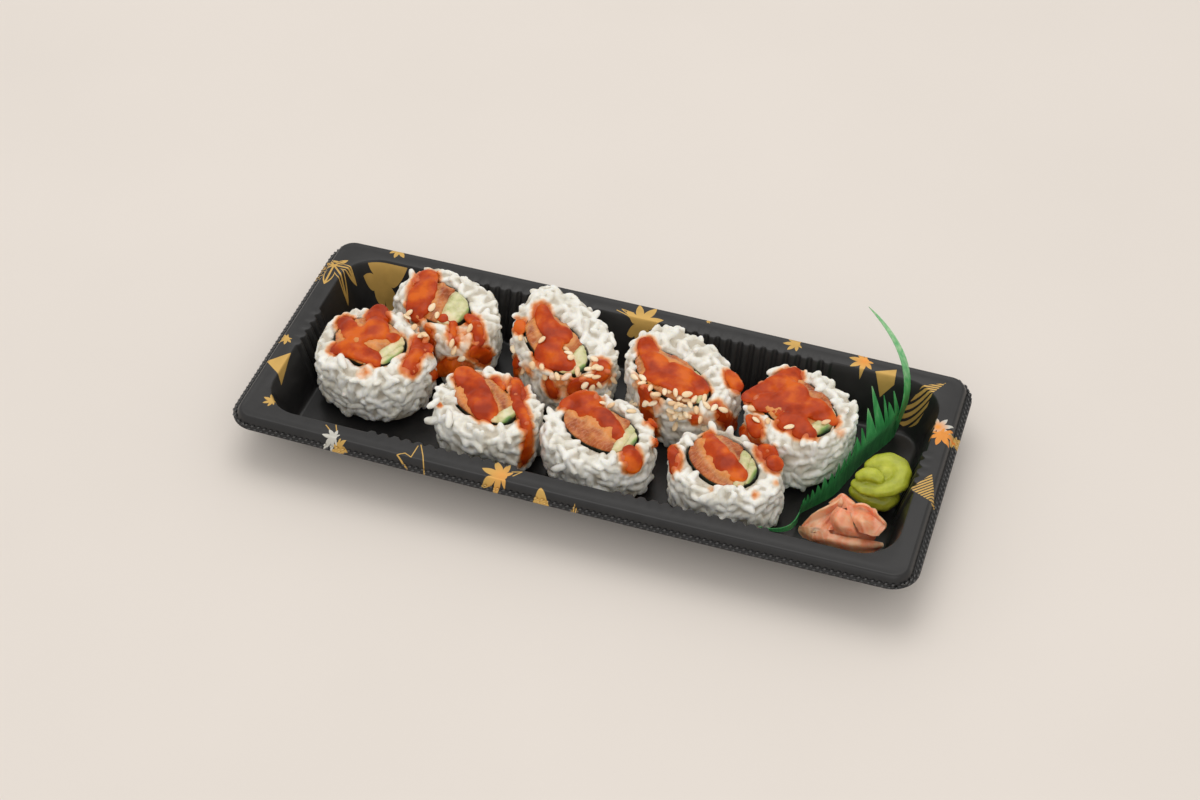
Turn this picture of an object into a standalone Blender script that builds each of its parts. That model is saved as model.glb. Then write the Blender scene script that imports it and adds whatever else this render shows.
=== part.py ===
"""Takeaway sushi tray: a black thermoformed tray with eight rice rolls, wasabi, ginger and a leaf divider.

Metres, +Z up. The origin is the middle of the tray's underside, +X runs along the tray and +Y to its back.
"""

import math
import random

import bmesh
import bpy
from mathutils import Matrix, Vector, noise

# Tray: a formed sheet with a fluted well, a flat rim and a crimped flange round it
TRAY_HEIGHT = 0.0185
SHEET = 0.0006
FLOOR_HALF = (0.0968, 0.0318)
FLOOR_CORNER = 0.0070
FOOT_RISE = 0.0010
FOOT_SPREAD = 0.0006
WELL_HALF = (0.1018, 0.0383)
WELL_CORNER = 0.0125
RIM_HALF = (0.1070, 0.0437)
RIM_CORNER = 0.0045
RIM_BOW = 0.0007
SKIRT_BOW = 0.0006
SKIRT_EDGE = (0.0006, 0.0004)
SKIRT_FOOT = (0.0016, 0.0023)
FLANGE_HALF = (0.1105, 0.0462)
FLANGE_CORNER = 0.0090
FLANGE_BOW = 0.0006
FLANGE_DROP = 0.0037
FLANGE_TOP = (0.0003, 0.0006)
FLANGE_LIP = (0.0007, 0.0003)
CORNER_STEPS = 5
PLAIN_STATIONS = 9
PLAIN_RUN = 0.82
FLUTE_PITCH = 0.00385
FLUTE_DEPTH = 0.0011
LONG_FLUTES = 13
LONG_FLUTES_START = 0.0150
SHORT_FLUTES = 5
FLUTE_CREST = (0.30, 0.70)
FLUTE_AT_FOOT = (0.5, 0.8)

# Food in general
GAP = 0.0003
FOOD_BASE = SHEET + GAP
ROLL_SIDES = 24
ROLL_SIDE = ((0.0, 0.88), (0.07, 0.945), (0.25, 0.98), (0.50, 1.0), (0.80, 1.0), (1.0, 0.975))
ROLL_TOP = ((0.91, -0.0003), (0.48, 0.0002))
HOLE_DROP = 0.0008
ROLL_SQUARENESS = 2.2
PEAK_WIDTH = 0.45
PEAK_RISE = 0.016
NEIGHBOUR_REACH = 0.004
ROLL_GAP = 0.0007
WALL_GAP = 0.0006
FRONT_SHARE = 0.30
BUMP_SIZE = 0.0034
BUMP_DEPTH = 0.0007
NORI_THICK = 0.0005
SAUCE_RISE = 0.0009
SAUCE_HALF_WIDTH = 0.0048
GRAIN = (0.0062, 0.0027)
SEED = (0.0033, 0.0019)
TOP_ROUNDING = 0.0016

# Each roll: centre, half sizes, turn, where its rice comes to a peak, height over the rim and slope of its
# cut face, then its filling (centre, half sizes, turn), the cucumber's side and the line of sauce across it
ROLLS = {
    1: dict(centre=(-0.0764, -0.0042), half=(0.0203, 0.0173), turn=-8, peak=(60, 0.05), over=0.0035,
            slope=(0.00, 0.03), filling=(-0.0785, -0.0030), filling_half=(0.0122, 0.0100), filling_turn=-20,
            cucumber=(-25, 0.45, 2), sauce=(75, 0.000), seeds=1),
    2: dict(centre=(-0.0610, 0.0195), half=(0.0200, 0.0163), turn=-25, peak=(125, 0.07), over=0.0042,
            slope=(-0.02, 0.05), filling=(-0.0635, 0.0205), filling_half=(0.0112, 0.0082), filling_turn=-25,
            cucumber=(0, 0.20, 1), sauce=(80, -0.005), seeds=3),
    3: dict(centre=(-0.0328, -0.0166), half=(0.0188, 0.0153), turn=-12, peak=(90, 0.00), over=0.0030,
            slope=(0.00, 0.02), filling=(-0.0340, -0.0158), filling_half=(0.0122, 0.0078), filling_turn=-25,
            cucumber=(-30, 0.60, 1), sauce=(-65, 0.000), seeds=1),
    4: dict(centre=(-0.0195, 0.0183), half=(0.0210, 0.0156), turn=-38, peak=(113, 0.12), over=0.0045,
            slope=(-0.04, 0.12), filling=(-0.0210, 0.0145), filling_half=(0.0142, 0.0078), filling_turn=-38,
            cucumber=(-15, 0.55, 1), sauce=(-60, 0.000), seeds=5),
    5: dict(centre=(0.0037, -0.0168), half=(0.0190, 0.0157), turn=-10, peak=(90, 0.00), over=0.0030,
            slope=(0.00, 0.02), filling=(0.0040, -0.0157), filling_half=(0.0132, 0.0084), filling_turn=-20,
            cucumber=(-8, 0.55, 2), sauce=(-60, 0.001), seeds=4),
    6: dict(centre=(0.0210, 0.0165), half=(0.0210, 0.0160), turn=-30, peak=(115, 0.04), over=0.0040,
            slope=(-0.02, 0.05), filling=(0.0186, 0.0122), filling_half=(0.0146, 0.0080), filling_turn=-27,
            cucumber=(20, 0.70, 1), sauce=(-55, 0.000), seeds=5),
    7: dict(centre=(0.0455, -0.0183), half=(0.0192, 0.0148), turn=-10, peak=(90, 0.00), over=0.0026,
            slope=(0.00, 0.03), filling=(0.0438, -0.0170), filling_half=(0.0122, 0.0088), filling_turn=-30,
            cucumber=(5, 0.45, 2), sauce=(-62, 0.001), seeds=3),
    8: dict(centre=(0.0610, 0.0112), half=(0.0180, 0.0182), turn=-30, peak=(115, 0.05), over=0.0040,
            slope=(0.00, 0.02), filling=(0.0598, 0.0120), filling_half=(0.0140, 0.0100), filling_turn=-35,
            cucumber=(-25, 0.60, 1), sauce=(-50, 0.002), seeds=2),
}
FRONT_ROLLS = (1, 3, 5, 7)

# Wasabi: a low mound with a curl of paste rolled over it
WASABI_CENTRE = (0.0889, 0.0030)
WASABI_HALF = (0.0086, 0.0076, 0.0058)
CURL_RADIUS = 0.0056
CURL_THICK = (0.0046, 0.0034)
CURL_START = -70
CURL_TURN = 290
CURL_RISE = 0.0110
CURL_OVAL = 0.75
CURL_STEPS = 15
CURL_SIDES = 9

# Ginger: folded slices, each with its centre, size, turn, height and fold
GINGER_CENTRE = (0.0838, -0.0172)
GINGER_THICK = 0.0016
GINGER_CORE = (0.0095, 0.0068, 0.0038)
GINGER_GRID = (7, 5)
GINGER_SLICES = (
    dict(at=(-0.0040, 0.0020), size=(0.0180, 0.0145), turn=30, rise=0.0045, fold=0.0055, phase=0.4),
    dict(at=(0.0016, -0.0036), size=(0.0220, 0.0120), turn=-8, rise=0.0028, fold=0.0046, phase=2.1),
    dict(at=(0.0040, 0.0026), size=(0.0185, 0.0130), turn=-42, rise=0.0070, fold=0.0052, phase=3.7),
    dict(at=(-0.0024, -0.0002), size=(0.0170, 0.0105), turn=75, rise=0.0092, fold=0.0040, phase=5.2),
)

# Leaf divider: a strip that stands along the last roll, cut into spikes, with a long blade at its back end
LEAF_THICK = 0.0004
LEAF_PATH = ((0.0685, -0.0165), (0.0684, -0.0130), (0.0714, -0.0088), (0.0762, -0.0024), (0.0790, 0.0056),
             (0.0812, 0.0130), (0.0842, 0.0196), (0.0870, 0.0252), (0.0886, 0.0296))
LEAF_BAND = (0.0045, 0.0125)
LEAF_BAND_GROWTH = (0.20, 0.45)
LEAF_SPIKES = 16
LEAF_SPIKE = (0.0045, 0.0165)
LEAF_LEAN = 0.0012
LEAF_SWEEP = 0.30
LEAF_WAVE = 0.0005
FRONT_BLADE = ((0.0690, -0.0290, 0.0075), (0.0600, -0.0333, 0.0135))
FRONT_BLADE_HALF_WIDTH = 0.0015
BLADE_TIP = (0.0735, 0.0420, 0.0420)
BLADE_BEND = (0.0955, 0.0345, 0.0295)
BLADE_HALF_WIDTH = 0.0024
BLADE_STEPS = 8


def clear_scene():
    for thing in list(bpy.data.objects):
        bpy.data.objects.remove(thing, do_unlink=True)


def make_material(name, colour, roughness, metallic=0.0):
    material = bpy.data.materials.new(name)
    material.use_nodes = True
    shader = material.node_tree.nodes["Principled BSDF"]
    shader.inputs["Base Color"].default_value = (*colour, 1.0)
    shader.inputs["Roughness"].default_value = roughness
    shader.inputs["Metallic"].default_value = metallic
    material.diffuse_color = (*colour, 1.0)
    return material


def new_object(name, points, faces, material, smooth=True, sharp=50):
    mesh = bpy.data.meshes.new(name)
    mesh.from_pydata([tuple(p) for p in points], [], faces)
    work = bmesh.new()
    work.from_mesh(mesh)
    bmesh.ops.recalc_face_normals(work, faces=work.faces)
    work.to_mesh(mesh)
    work.free()
    mesh.materials.append(material)
    if smooth:
        mesh.shade_smooth()
        mesh.set_sharp_from_angle(angle=math.radians(sharp))
    obj = bpy.data.objects.new(name, mesh)
    bpy.context.scene.collection.objects.link(obj)
    return obj


def strip(first, second, count, faces):
    """Quads between two loops of the same count, given by their first point's index."""
    for i in range(count):
        j = (i + 1) % count
        faces.append((first + i, first + j, second + j, second + i))


def stitch(points, first, first_count, second, second_count, faces):
    """Triangles between two closed loops of different counts, walking both by the share of their length."""

    def shares(start, count):
        length = [0.0]
        for i in range(count):
            here = Vector(points[start + i])
            after = Vector(points[start + (i + 1) % count])
            length.append(length[-1] + (after - here).length)
        return [value / length[-1] for value in length]

    a_share = shares(first, first_count)
    b_share = shares(second, second_count)
    i = 0
    j = 0
    while i < first_count or j < second_count:
        a = first + i % first_count
        b = second + j % second_count
        step_a = j == second_count or (i < first_count and a_share[i + 1] <= b_share[j + 1])
        if step_a:
            faces.append((a, first + (i + 1) % first_count, b))
            i += 1
        else:
            faces.append((a, second + (j + 1) % second_count, b))
            j += 1


def flute_stations(start, count):
    """Places along a wall and how far each stands into the well, for one group of flutes."""
    stations = []
    for k in range(count):
        base = start + k * FLUTE_PITCH
        stations.append((base, 0.0))
        stations += [(base + share * FLUTE_PITCH, 1.0) for share in FLUTE_CREST]
    stations.append((start + count * FLUTE_PITCH, 0.0))
    return stations


def fluted_sides():
    run = LONG_FLUTES * FLUTE_PITCH
    long_side = flute_stations(-LONG_FLUTES_START - run, LONG_FLUTES)
    long_side += flute_stations(LONG_FLUTES_START, LONG_FLUTES)
    short_side = flute_stations(-SHORT_FLUTES * FLUTE_PITCH / 2, SHORT_FLUTES)
    return long_side, short_side


def plain_sides(half):
    run = half[0] * PLAIN_RUN
    long_side = [(run * (2 * k / (PLAIN_STATIONS - 1) - 1), 0.0) for k in range(PLAIN_STATIONS)]
    return long_side, [(0.0, 0.0)]


def tray_loop(half, corner, height, bow=0.0, sides=None, depth=0.0):
    """A rounded rectangle, anticlockwise from above: its long sides bow out and its walls may be fluted."""
    long_side, short_side = sides or plain_sides(half)
    straight = half[0] - corner
    loop = []
    for side in range(4):
        quarter = Matrix.Rotation(math.radians(90 * side), 3, "Z")
        is_long = side % 2 == 1
        stations = long_side if is_long else short_side
        reach = half[1] if is_long else half[0]
        run = half[0] if is_long else half[1]
        for place, inset in stations:
            out = reach - inset * depth
            if is_long:
                out += bow * (1 - (place / straight) ** 2)
            loop.append(quarter @ Vector((out, place, height)))
        for k in range(CORNER_STEPS + 1):
            angle = math.radians(90 * k / CORNER_STEPS)
            x = reach - corner + corner * math.cos(angle)
            y = run - corner + corner * math.sin(angle)
            loop.append(quarter @ Vector((x, y, height)))
    return loop


def spread(half, by):
    return (half[0] + by, half[1] + by)


def make_tray(material):
    sides = fluted_sides()
    at_foot, above_foot = (FLUTE_DEPTH * share for share in FLUTE_AT_FOOT)
    foot_half = spread(FLOOR_HALF, FOOT_SPREAD)
    rim_top = TRAY_HEIGHT
    under_rim = TRAY_HEIGHT - SHEET
    edge_out, edge_drop = SKIRT_EDGE
    skirt_out, skirt_drop = SKIRT_FOOT
    flange_in, flange_rise = FLANGE_TOP
    lip_in, lip_drop = FLANGE_LIP
    flange = rim_top - FLANGE_DROP
    inner = [
        tray_loop(FLOOR_HALF, FLOOR_CORNER, SHEET, 0, sides, at_foot),
        tray_loop(foot_half, FLOOR_CORNER + FOOT_SPREAD, SHEET + FOOT_RISE, 0, sides, above_foot),
        tray_loop(WELL_HALF, WELL_CORNER, rim_top, 0, sides, FLUTE_DEPTH),
    ]
    rim = [
        tray_loop(RIM_HALF, RIM_CORNER, rim_top, RIM_BOW),
        tray_loop(spread(RIM_HALF, edge_out), RIM_CORNER + edge_out, rim_top - edge_drop, RIM_BOW),
        tray_loop(spread(RIM_HALF, skirt_out), RIM_CORNER + skirt_out, rim_top - skirt_drop, SKIRT_BOW),
        tray_loop(spread(FLANGE_HALF, -flange_in), FLANGE_CORNER, flange + flange_rise, FLANGE_BOW),
        tray_loop(FLANGE_HALF, FLANGE_CORNER, flange, FLANGE_BOW),
        tray_loop(spread(FLANGE_HALF, -lip_in), FLANGE_CORNER - lip_drop, flange - lip_drop, FLANGE_BOW),
        tray_loop(spread(RIM_HALF, skirt_out - SHEET), RIM_CORNER + skirt_out - SHEET,
                  rim_top - skirt_drop - SHEET, SKIRT_BOW),
        tray_loop(RIM_HALF, RIM_CORNER, under_rim, RIM_BOW),
    ]
    outer = [
        tray_loop(spread(WELL_HALF, SHEET), WELL_CORNER + SHEET, under_rim, 0, sides, FLUTE_DEPTH),
        tray_loop(spread(FLOOR_HALF, SHEET), FLOOR_CORNER + SHEET, 0.0, 0, sides, at_foot),
    ]
    loops = inner + rim + outer
    points = [p for loop in loops for p in loop]
    starts = []
    total = 0
    for loop in loops:
        starts.append(total)
        total += len(loop)
    faces = [tuple(range(len(loops[0])))]
    for k in range(len(loops) - 1):
        here = len(loops[k])
        after = len(loops[k + 1])
        if here == after:
            strip(starts[k], starts[k + 1], here, faces)
        else:
            stitch(points, starts[k], here, starts[k + 1], after, faces)
    faces.append(tuple(range(starts[-1], total)))
    return new_object("tray", points, faces, material, sharp=25)


def ellipse_reach(half, turn, angle):
    local = angle - math.radians(turn)
    power = ROLL_SQUARENESS
    across = (abs(math.cos(local)) / half[0]) ** power + (abs(math.sin(local)) / half[1]) ** power
    return across ** (-1 / power)


def turned(angle):
    """The angle brought between -180 and 180 degrees."""
    return (angle + math.pi) % (2 * math.pi) - math.pi


def own_reach(roll, angle):
    reach = ellipse_reach(roll["half"], roll["turn"], angle)
    peak_at, peak_by = roll["peak"]
    off = turned(angle - math.radians(peak_at))
    return reach * (1 + peak_by * math.exp(-(off / PEAK_WIDTH) ** 2))


def pressed_planes():
    """For each roll, the flats where it is pressed against its neighbours: a direction and a distance."""
    planes = {number: [] for number in ROLLS}
    numbers = list(ROLLS)
    for i, a in enumerate(numbers):
        for b in numbers[i + 1:]:
            start = Vector(ROLLS[a]["centre"])
            end = Vector(ROLLS[b]["centre"])
            apart = (end - start).length
            angle = math.atan2(end.y - start.y, end.x - start.x)
            reach_a = own_reach(ROLLS[a], angle)
            reach_b = own_reach(ROLLS[b], angle + math.pi)
            excess = reach_a + reach_b + ROLL_GAP - apart
            if excess < -NEIGHBOUR_REACH:
                continue
            share = 0.5
            if (a in FRONT_ROLLS) != (b in FRONT_ROLLS):
                share = FRONT_SHARE if a in FRONT_ROLLS else 1 - FRONT_SHARE
            excess = max(excess, 0.0)
            planes[a].append((angle, reach_a - excess * share))
            planes[b].append((angle + math.pi, reach_b - excess * (1 - share)))
    return planes


def roll_reach(roll, planes, angle):
    reach = own_reach(roll, angle)
    for facing, distance in planes:
        ahead = math.cos(angle - facing)
        if ahead > 0.05:
            reach = min(reach, distance / ahead)
    return reach


def wall_limit(height):
    """How far a roll may reach across the tray at a height, clear of the flutes."""
    share = min(height / TRAY_HEIGHT, 1.15)
    foot = FLOOR_HALF[1] - FLUTE_DEPTH * FLUTE_AT_FOOT[1]
    top = WELL_HALF[1] - FLUTE_DEPTH
    return foot + (top - foot) * share - WALL_GAP


def roll_point(roll, planes, angle, share, height):
    centre = roll["centre"]
    reach = roll_reach(roll, planes, angle) * share
    x = centre[0] + reach * math.cos(angle)
    y = centre[1] + reach * math.sin(angle)
    limit = wall_limit(height)
    return Vector((x, max(-limit, min(limit, y)), height))


def bump(x, y, z, seed):
    """A value from 0 to 1 that swells and sinks at the size of a rice grain."""
    place = Vector((x / BUMP_SIZE, y / BUMP_SIZE, z / BUMP_SIZE + 7.3 * seed))
    return 0.5 + 0.5 * max(-1.0, min(1.0, 1.6 * noise.noise(place)))


def sauce_here(roll, x, y):
    """How much of the sauce's thickness lies at a place, by its distance from the line of the pour."""
    facing, offset = roll["sauce"]
    along = math.radians(facing)
    dx = x - roll["filling"][0]
    dy = y - roll["filling"][1]
    off = abs(-dx * math.sin(along) + dy * math.cos(along) - offset)
    return max(0.0, 1 - (off / SAUCE_HALF_WIDTH) ** 2)


def face_height(roll, x, y):
    """The height of a roll's cut face."""
    dx = x - roll["centre"][0]
    dy = y - roll["centre"][1]
    peak_at, peak_by = roll["peak"]
    toward = Vector((math.cos(math.radians(peak_at)), math.sin(math.radians(peak_at))))
    out = max(0.0, (dx * toward.x + dy * toward.y) / roll["half"][1] - 0.5)
    flat = TRAY_HEIGHT + roll["over"] + dx * roll["slope"][0] + dy * roll["slope"][1]
    return flat + out * peak_by * PEAK_RISE


def filling_loop(roll, inset, count):
    """The outline of the filling, inside or outside it by an inset."""
    half = (roll["filling_half"][0] - inset, roll["filling_half"][1] - inset)
    loop = []
    for k in range(count):
        angle = 2 * math.pi * k / count
        reach = ellipse_reach(half, roll["filling_turn"], angle)
        x = roll["filling"][0] + reach * math.cos(angle)
        y = roll["filling"][1] + reach * math.sin(angle)
        loop.append((x, y))
    return loop


def pellet(length, width, sides, place, direction):
    """A grain or a seed: two rings and two ends, lying along a direction."""
    points = [Vector((length / 2, 0, 0))]
    for along in (0.22, -0.22):
        for k in range(sides):
            angle = 2 * math.pi * (k + (0.5 if along < 0 else 0.0)) / sides
            ring = (width / 2 * math.cos(angle), width / 2 * math.sin(angle))
            points.append(Vector((along * length, *ring)))
    points.append(Vector((-length / 2, 0, 0)))
    last = len(points) - 1
    faces = []
    for k in range(sides):
        j = (k + 1) % sides
        faces.append((0, 1 + k, 1 + j))
        faces.append((1 + k, 1 + sides + k, 1 + j))
        faces.append((1 + j, 1 + sides + k, 1 + sides + j))
        faces.append((last, 1 + sides + j, 1 + sides + k))
    turn = direction.to_track_quat("X", "Z").to_matrix()
    return [turn @ p + place for p in points], faces


def fuse(body, pieces):
    """Joins small solids to a body with one Boolean union and applies it."""
    group = bpy.data.collections.new(body.name + "_pieces")
    bpy.context.scene.collection.children.link(group)
    material = body.data.materials[0]
    for number, (points, faces) in enumerate(pieces):
        piece = new_object(f"{body.name}_piece_{number}", points, faces, material, smooth=False)
        bpy.context.scene.collection.objects.unlink(piece)
        group.objects.link(piece)
    union = body.modifiers.new("union", "BOOLEAN")
    union.operation = "UNION"
    union.operand_type = "COLLECTION"
    union.solver = "MANIFOLD"
    union.collection = group
    graph = bpy.context.evaluated_depsgraph_get()
    joined = bpy.data.meshes.new_from_object(body.evaluated_get(graph))
    body.modifiers.remove(union)
    old = body.data
    body.data = joined
    joined.name = old.name
    bpy.data.meshes.remove(old)
    for piece in list(group.objects):
        bpy.data.objects.remove(piece, do_unlink=True)
    bpy.data.collections.remove(group)


def rice_pieces(number, roll, planes, draw):
    """Grains and seeds that stand proud of the cut face and, on a front roll, of its front."""
    pieces = []
    ring_seeds = roll["seeds"]
    spots = 4 + ring_seeds
    for k in range(spots):
        angle = 2 * math.pi * (k + draw.uniform(0.15, 0.85)) / spots
        outer = roll_point(roll, planes, angle, 0.93, TRAY_HEIGHT)
        fill = filling_loop(roll, -0.0018, 72)
        near = min(fill, key=lambda p: (p[0] - outer.x) ** 2 + (p[1] - outer.y) ** 2)
        share = draw.uniform(0.45, 0.60)
        x = outer.x + (near[0] - outer.x) * share
        y = outer.y + (near[1] - outer.y) * share
        room = math.hypot(near[0] - outer.x, near[1] - outer.y)
        size = SEED if k % 2 == 0 and k // 2 < ring_seeds else GRAIN
        if room < size[1] * 1.3:
            continue
        swing = 0.9 if room > size[0] else 0.25
        heading = angle + math.pi / 2 + draw.uniform(-swing, swing)
        direction = Vector((math.cos(heading), math.sin(heading), draw.uniform(-0.12, 0.12)))
        height = face_height(roll, x, y) + sauce_here(roll, x, y) * SAUCE_RISE - size[1] * 0.05
        pieces.append(pellet(*size, 5, Vector((x, y, height)), direction))
    if number in FRONT_ROLLS:
        for k in range(4):
            angle = math.radians(-135 + 30 * k + draw.uniform(-8, 8))
            height = draw.uniform(0.007, 0.019)
            place = roll_point(roll, planes, angle, 0.965, height)
            heading = angle + math.pi / 2
            lean = draw.uniform(-1.0, 1.0)
            direction = Vector((math.cos(heading), math.sin(heading), lean))
            pieces.append(pellet(*GRAIN, 5, place, direction))
    return pieces


def make_rice(number, roll, planes, material):
    """A ring of packed rice: an uneven drum, open down its middle for the filling."""
    draw = random.Random(100 + number)
    top = TRAY_HEIGHT + roll["over"]
    inner = filling_loop(roll, -GAP, ROLL_SIDES)
    angles = [2 * math.pi * k / ROLL_SIDES for k in range(ROLL_SIDES)]
    loops = [[Vector((x, y, FOOD_BASE)) for x, y in inner]]
    for rise, share in ROLL_SIDE:
        loop = []
        for angle in angles:
            edge = roll_point(roll, planes, angle, share, top)
            side_top = face_height(roll, edge.x, edge.y) - TOP_ROUNDING
            height = FOOD_BASE + rise * (side_top - FOOD_BASE)
            place = roll_point(roll, planes, angle, share, height)
            dent = BUMP_DEPTH * bump(*place, number)
            centre = Vector((*roll["centre"], height))
            inward = (centre - place).normalized()
            loop.append(place + inward * dent)
        loops.append(loop)
    for share, crown in ROLL_TOP:
        loop = []
        for angle, hole in zip(angles, inner):
            edge = roll_point(roll, planes, angle, 1.0, top)
            x = hole[0] + (edge.x - hole[0]) * share
            y = hole[1] + (edge.y - hole[1]) * share
            height = face_height(roll, x, y) + crown + SAUCE_RISE * sauce_here(roll, x, y)
            loop.append(Vector((x, y, height - BUMP_DEPTH * bump(x, y, height, number))))
        loops.append(loop)
    loops.append([Vector((x, y, face_height(roll, x, y) - HOLE_DROP)) for x, y in inner])
    points = [p for loop in loops for p in loop]
    faces = []
    for k in range(len(loops)):
        strip(k * ROLL_SIDES, (k + 1) % len(loops) * ROLL_SIDES, ROLL_SIDES, faces)
    body = new_object(f"rice_{number}", points, faces, material)
    fuse(body, rice_pieces(number, roll, planes, draw))
    body.data.shade_smooth()
    body.data.set_sharp_from_angle(angle=math.radians(50))
    return body


def make_nori(number, roll, material):
    """The seaweed sheet: a thin sleeve round the filling, from the tray's floor to the cut face."""
    outer = filling_loop(roll, 0.0, ROLL_SIDES)
    inner = filling_loop(roll, NORI_THICK, ROLL_SIDES)
    loops = [
        [Vector((x, y, FOOD_BASE)) for x, y in inner],
        [Vector((x, y, FOOD_BASE)) for x, y in outer],
        [Vector((x, y, face_height(roll, x, y) - 0.0002)) for x, y in outer],
        [Vector((x, y, face_height(roll, x, y) - 0.0002)) for x, y in inner],
    ]
    points = [p for loop in loops for p in loop]
    faces = []
    for k in range(len(loops)):
        strip(k * ROLL_SIDES, (k + 1) % len(loops) * ROLL_SIDES, ROLL_SIDES, faces)
    return new_object(f"nori_{number}", points, faces, material)


def clip_outline(outline, facing, distance, origin):
    """The part of a convex outline behind a line that faces a direction at a distance from an origin."""
    ahead = Vector((math.cos(facing), math.sin(facing)))
    kept = []
    for k, here in enumerate(outline):
        after = outline[(k + 1) % len(outline)]
        now = (Vector(here) - Vector(origin)).dot(ahead) - distance
        then = (Vector(after) - Vector(origin)).dot(ahead) - distance
        if now <= 0:
            kept.append(tuple(here))
        if now * then < 0:
            share = now / (now - then)
            kept.append(tuple(Vector(here).lerp(Vector(after), share)))
    return kept


def filling_block(name, outline, roll, material, crown, seed):
    """A prism with an uneven crowned top that follows the cut face."""
    count = len(outline)
    middle = Vector((sum(p[0] for p in outline) / count, sum(p[1] for p in outline) / count))
    points = [Vector((x, y, FOOD_BASE)) for x, y in outline]
    for share, rise in ((1.0, -0.0004), (0.62, crown)):
        for x, y in outline:
            px = middle.x + (x - middle.x) * share
            py = middle.y + (y - middle.y) * share
            height = face_height(roll, px, py) + rise
            if share < 1:
                height += SAUCE_RISE * sauce_here(roll, px, py) - 0.0006 * bump(px, py, 0.0, seed)
            points.append(Vector((px, py, height)))
    points.append(Vector((*middle, face_height(roll, *middle) + crown)))
    faces = [tuple(range(count))]
    strip(0, count, count, faces)
    strip(count, 2 * count, count, faces)
    last = len(points) - 1
    for k in range(count):
        faces.append((2 * count + k, 2 * count + (k + 1) % count, last))
    return new_object(name, points, faces, material)


def make_filling(number, roll, salmon, cucumber):
    """Salmon on one side of the seaweed sleeve and one or two sticks of cucumber on the other."""
    facing, share, sticks = roll["cucumber"]
    toward = math.radians(facing)
    whole = filling_loop(roll, NORI_THICK + GAP, ROLL_SIDES)
    reach = ellipse_reach(roll["filling_half"], roll["filling_turn"], toward)
    cut = reach * share
    origin = roll["filling"]
    start = clip_outline(whole, toward, cut, origin)
    filling_block(f"salmon_{number}", start, roll, salmon, 0.0006, number)
    end = clip_outline(whole, toward + math.pi, -cut - GAP, origin)
    if sticks == 1:
        filling_block(f"cucumber_{number}", end, roll, cucumber, 0.0002, number + 20)
        return
    middle = (cut + reach) / 2
    near = clip_outline(end, toward, middle - GAP / 2, origin)
    far = clip_outline(end, toward + math.pi, -middle - GAP / 2, origin)
    filling_block(f"cucumber_{number}", near, roll, cucumber, 0.0002, number + 20)
    filling_block(f"cucumber_{number}_outer", far, roll, cucumber, 0.0001, number + 30)


def ellipsoid(centre, half, rings, sides):
    points = [Vector((centre[0], centre[1], centre[2] + half[2]))]
    for r in range(1, rings):
        polar = math.pi * r / rings
        for k in range(sides):
            angle = 2 * math.pi * k / sides
            points.append(Vector((centre[0] + half[0] * math.sin(polar) * math.cos(angle),
                                  centre[1] + half[1] * math.sin(polar) * math.sin(angle),
                                  centre[2] + half[2] * math.cos(polar))))
    points.append(Vector((centre[0], centre[1], centre[2] - half[2])))
    faces = [(0, 1 + k, 1 + (k + 1) % sides) for k in range(sides)]
    for r in range(rings - 2):
        strip(1 + r * sides, 1 + (r + 1) * sides, sides, faces)
    last = len(points) - 1
    base = 1 + (rings - 2) * sides
    faces += [(base + (k + 1) % sides, base + k, last) for k in range(sides)]
    return points, faces


def make_wasabi(material):
    """A mound, and on it a curl of paste that thins towards its inner end."""
    cx, cy = WASABI_CENTRE
    floor = FOOD_BASE
    mound = ellipsoid((cx, cy, floor + WASABI_HALF[2]), WASABI_HALF, 7, 14)
    for point in mound[0]:
        point.z = max(point.z, floor)
    body = new_object("wasabi", *mound, material)
    points = []
    for k in range(CURL_STEPS + 1):
        share = k / CURL_STEPS
        angle = math.radians(CURL_START + CURL_TURN * share)
        reach = CURL_RADIUS * (1 - 0.55 * share)
        thick = CURL_THICK[0] + (CURL_THICK[1] - CURL_THICK[0]) * share
        thick *= min(1.0, 0.45 + 3.0 * min(share, 1 - share))
        middle = Vector((cx + reach * math.cos(angle), cy + CURL_OVAL * reach * math.sin(angle),
                         floor + CURL_RISE + 0.0012 * math.sin(math.pi * share)))
        out = Vector((math.cos(angle), math.sin(angle), 0)) * thick
        up = Vector((0, 0, 1.15 * thick))
        for j in range(CURL_SIDES):
            around = 2 * math.pi * j / CURL_SIDES
            points.append(middle + out * math.cos(around) + up * math.sin(around))
    last = CURL_STEPS * CURL_SIDES
    faces = [tuple(range(CURL_SIDES)), tuple(range(last, last + CURL_SIDES))]
    for k in range(CURL_STEPS):
        strip(k * CURL_SIDES, (k + 1) * CURL_SIDES, CURL_SIDES, faces)
    fuse(body, [(points, faces)])
    body.data.shade_smooth()
    body.data.set_sharp_from_angle(angle=math.radians(60))
    return body


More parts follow.
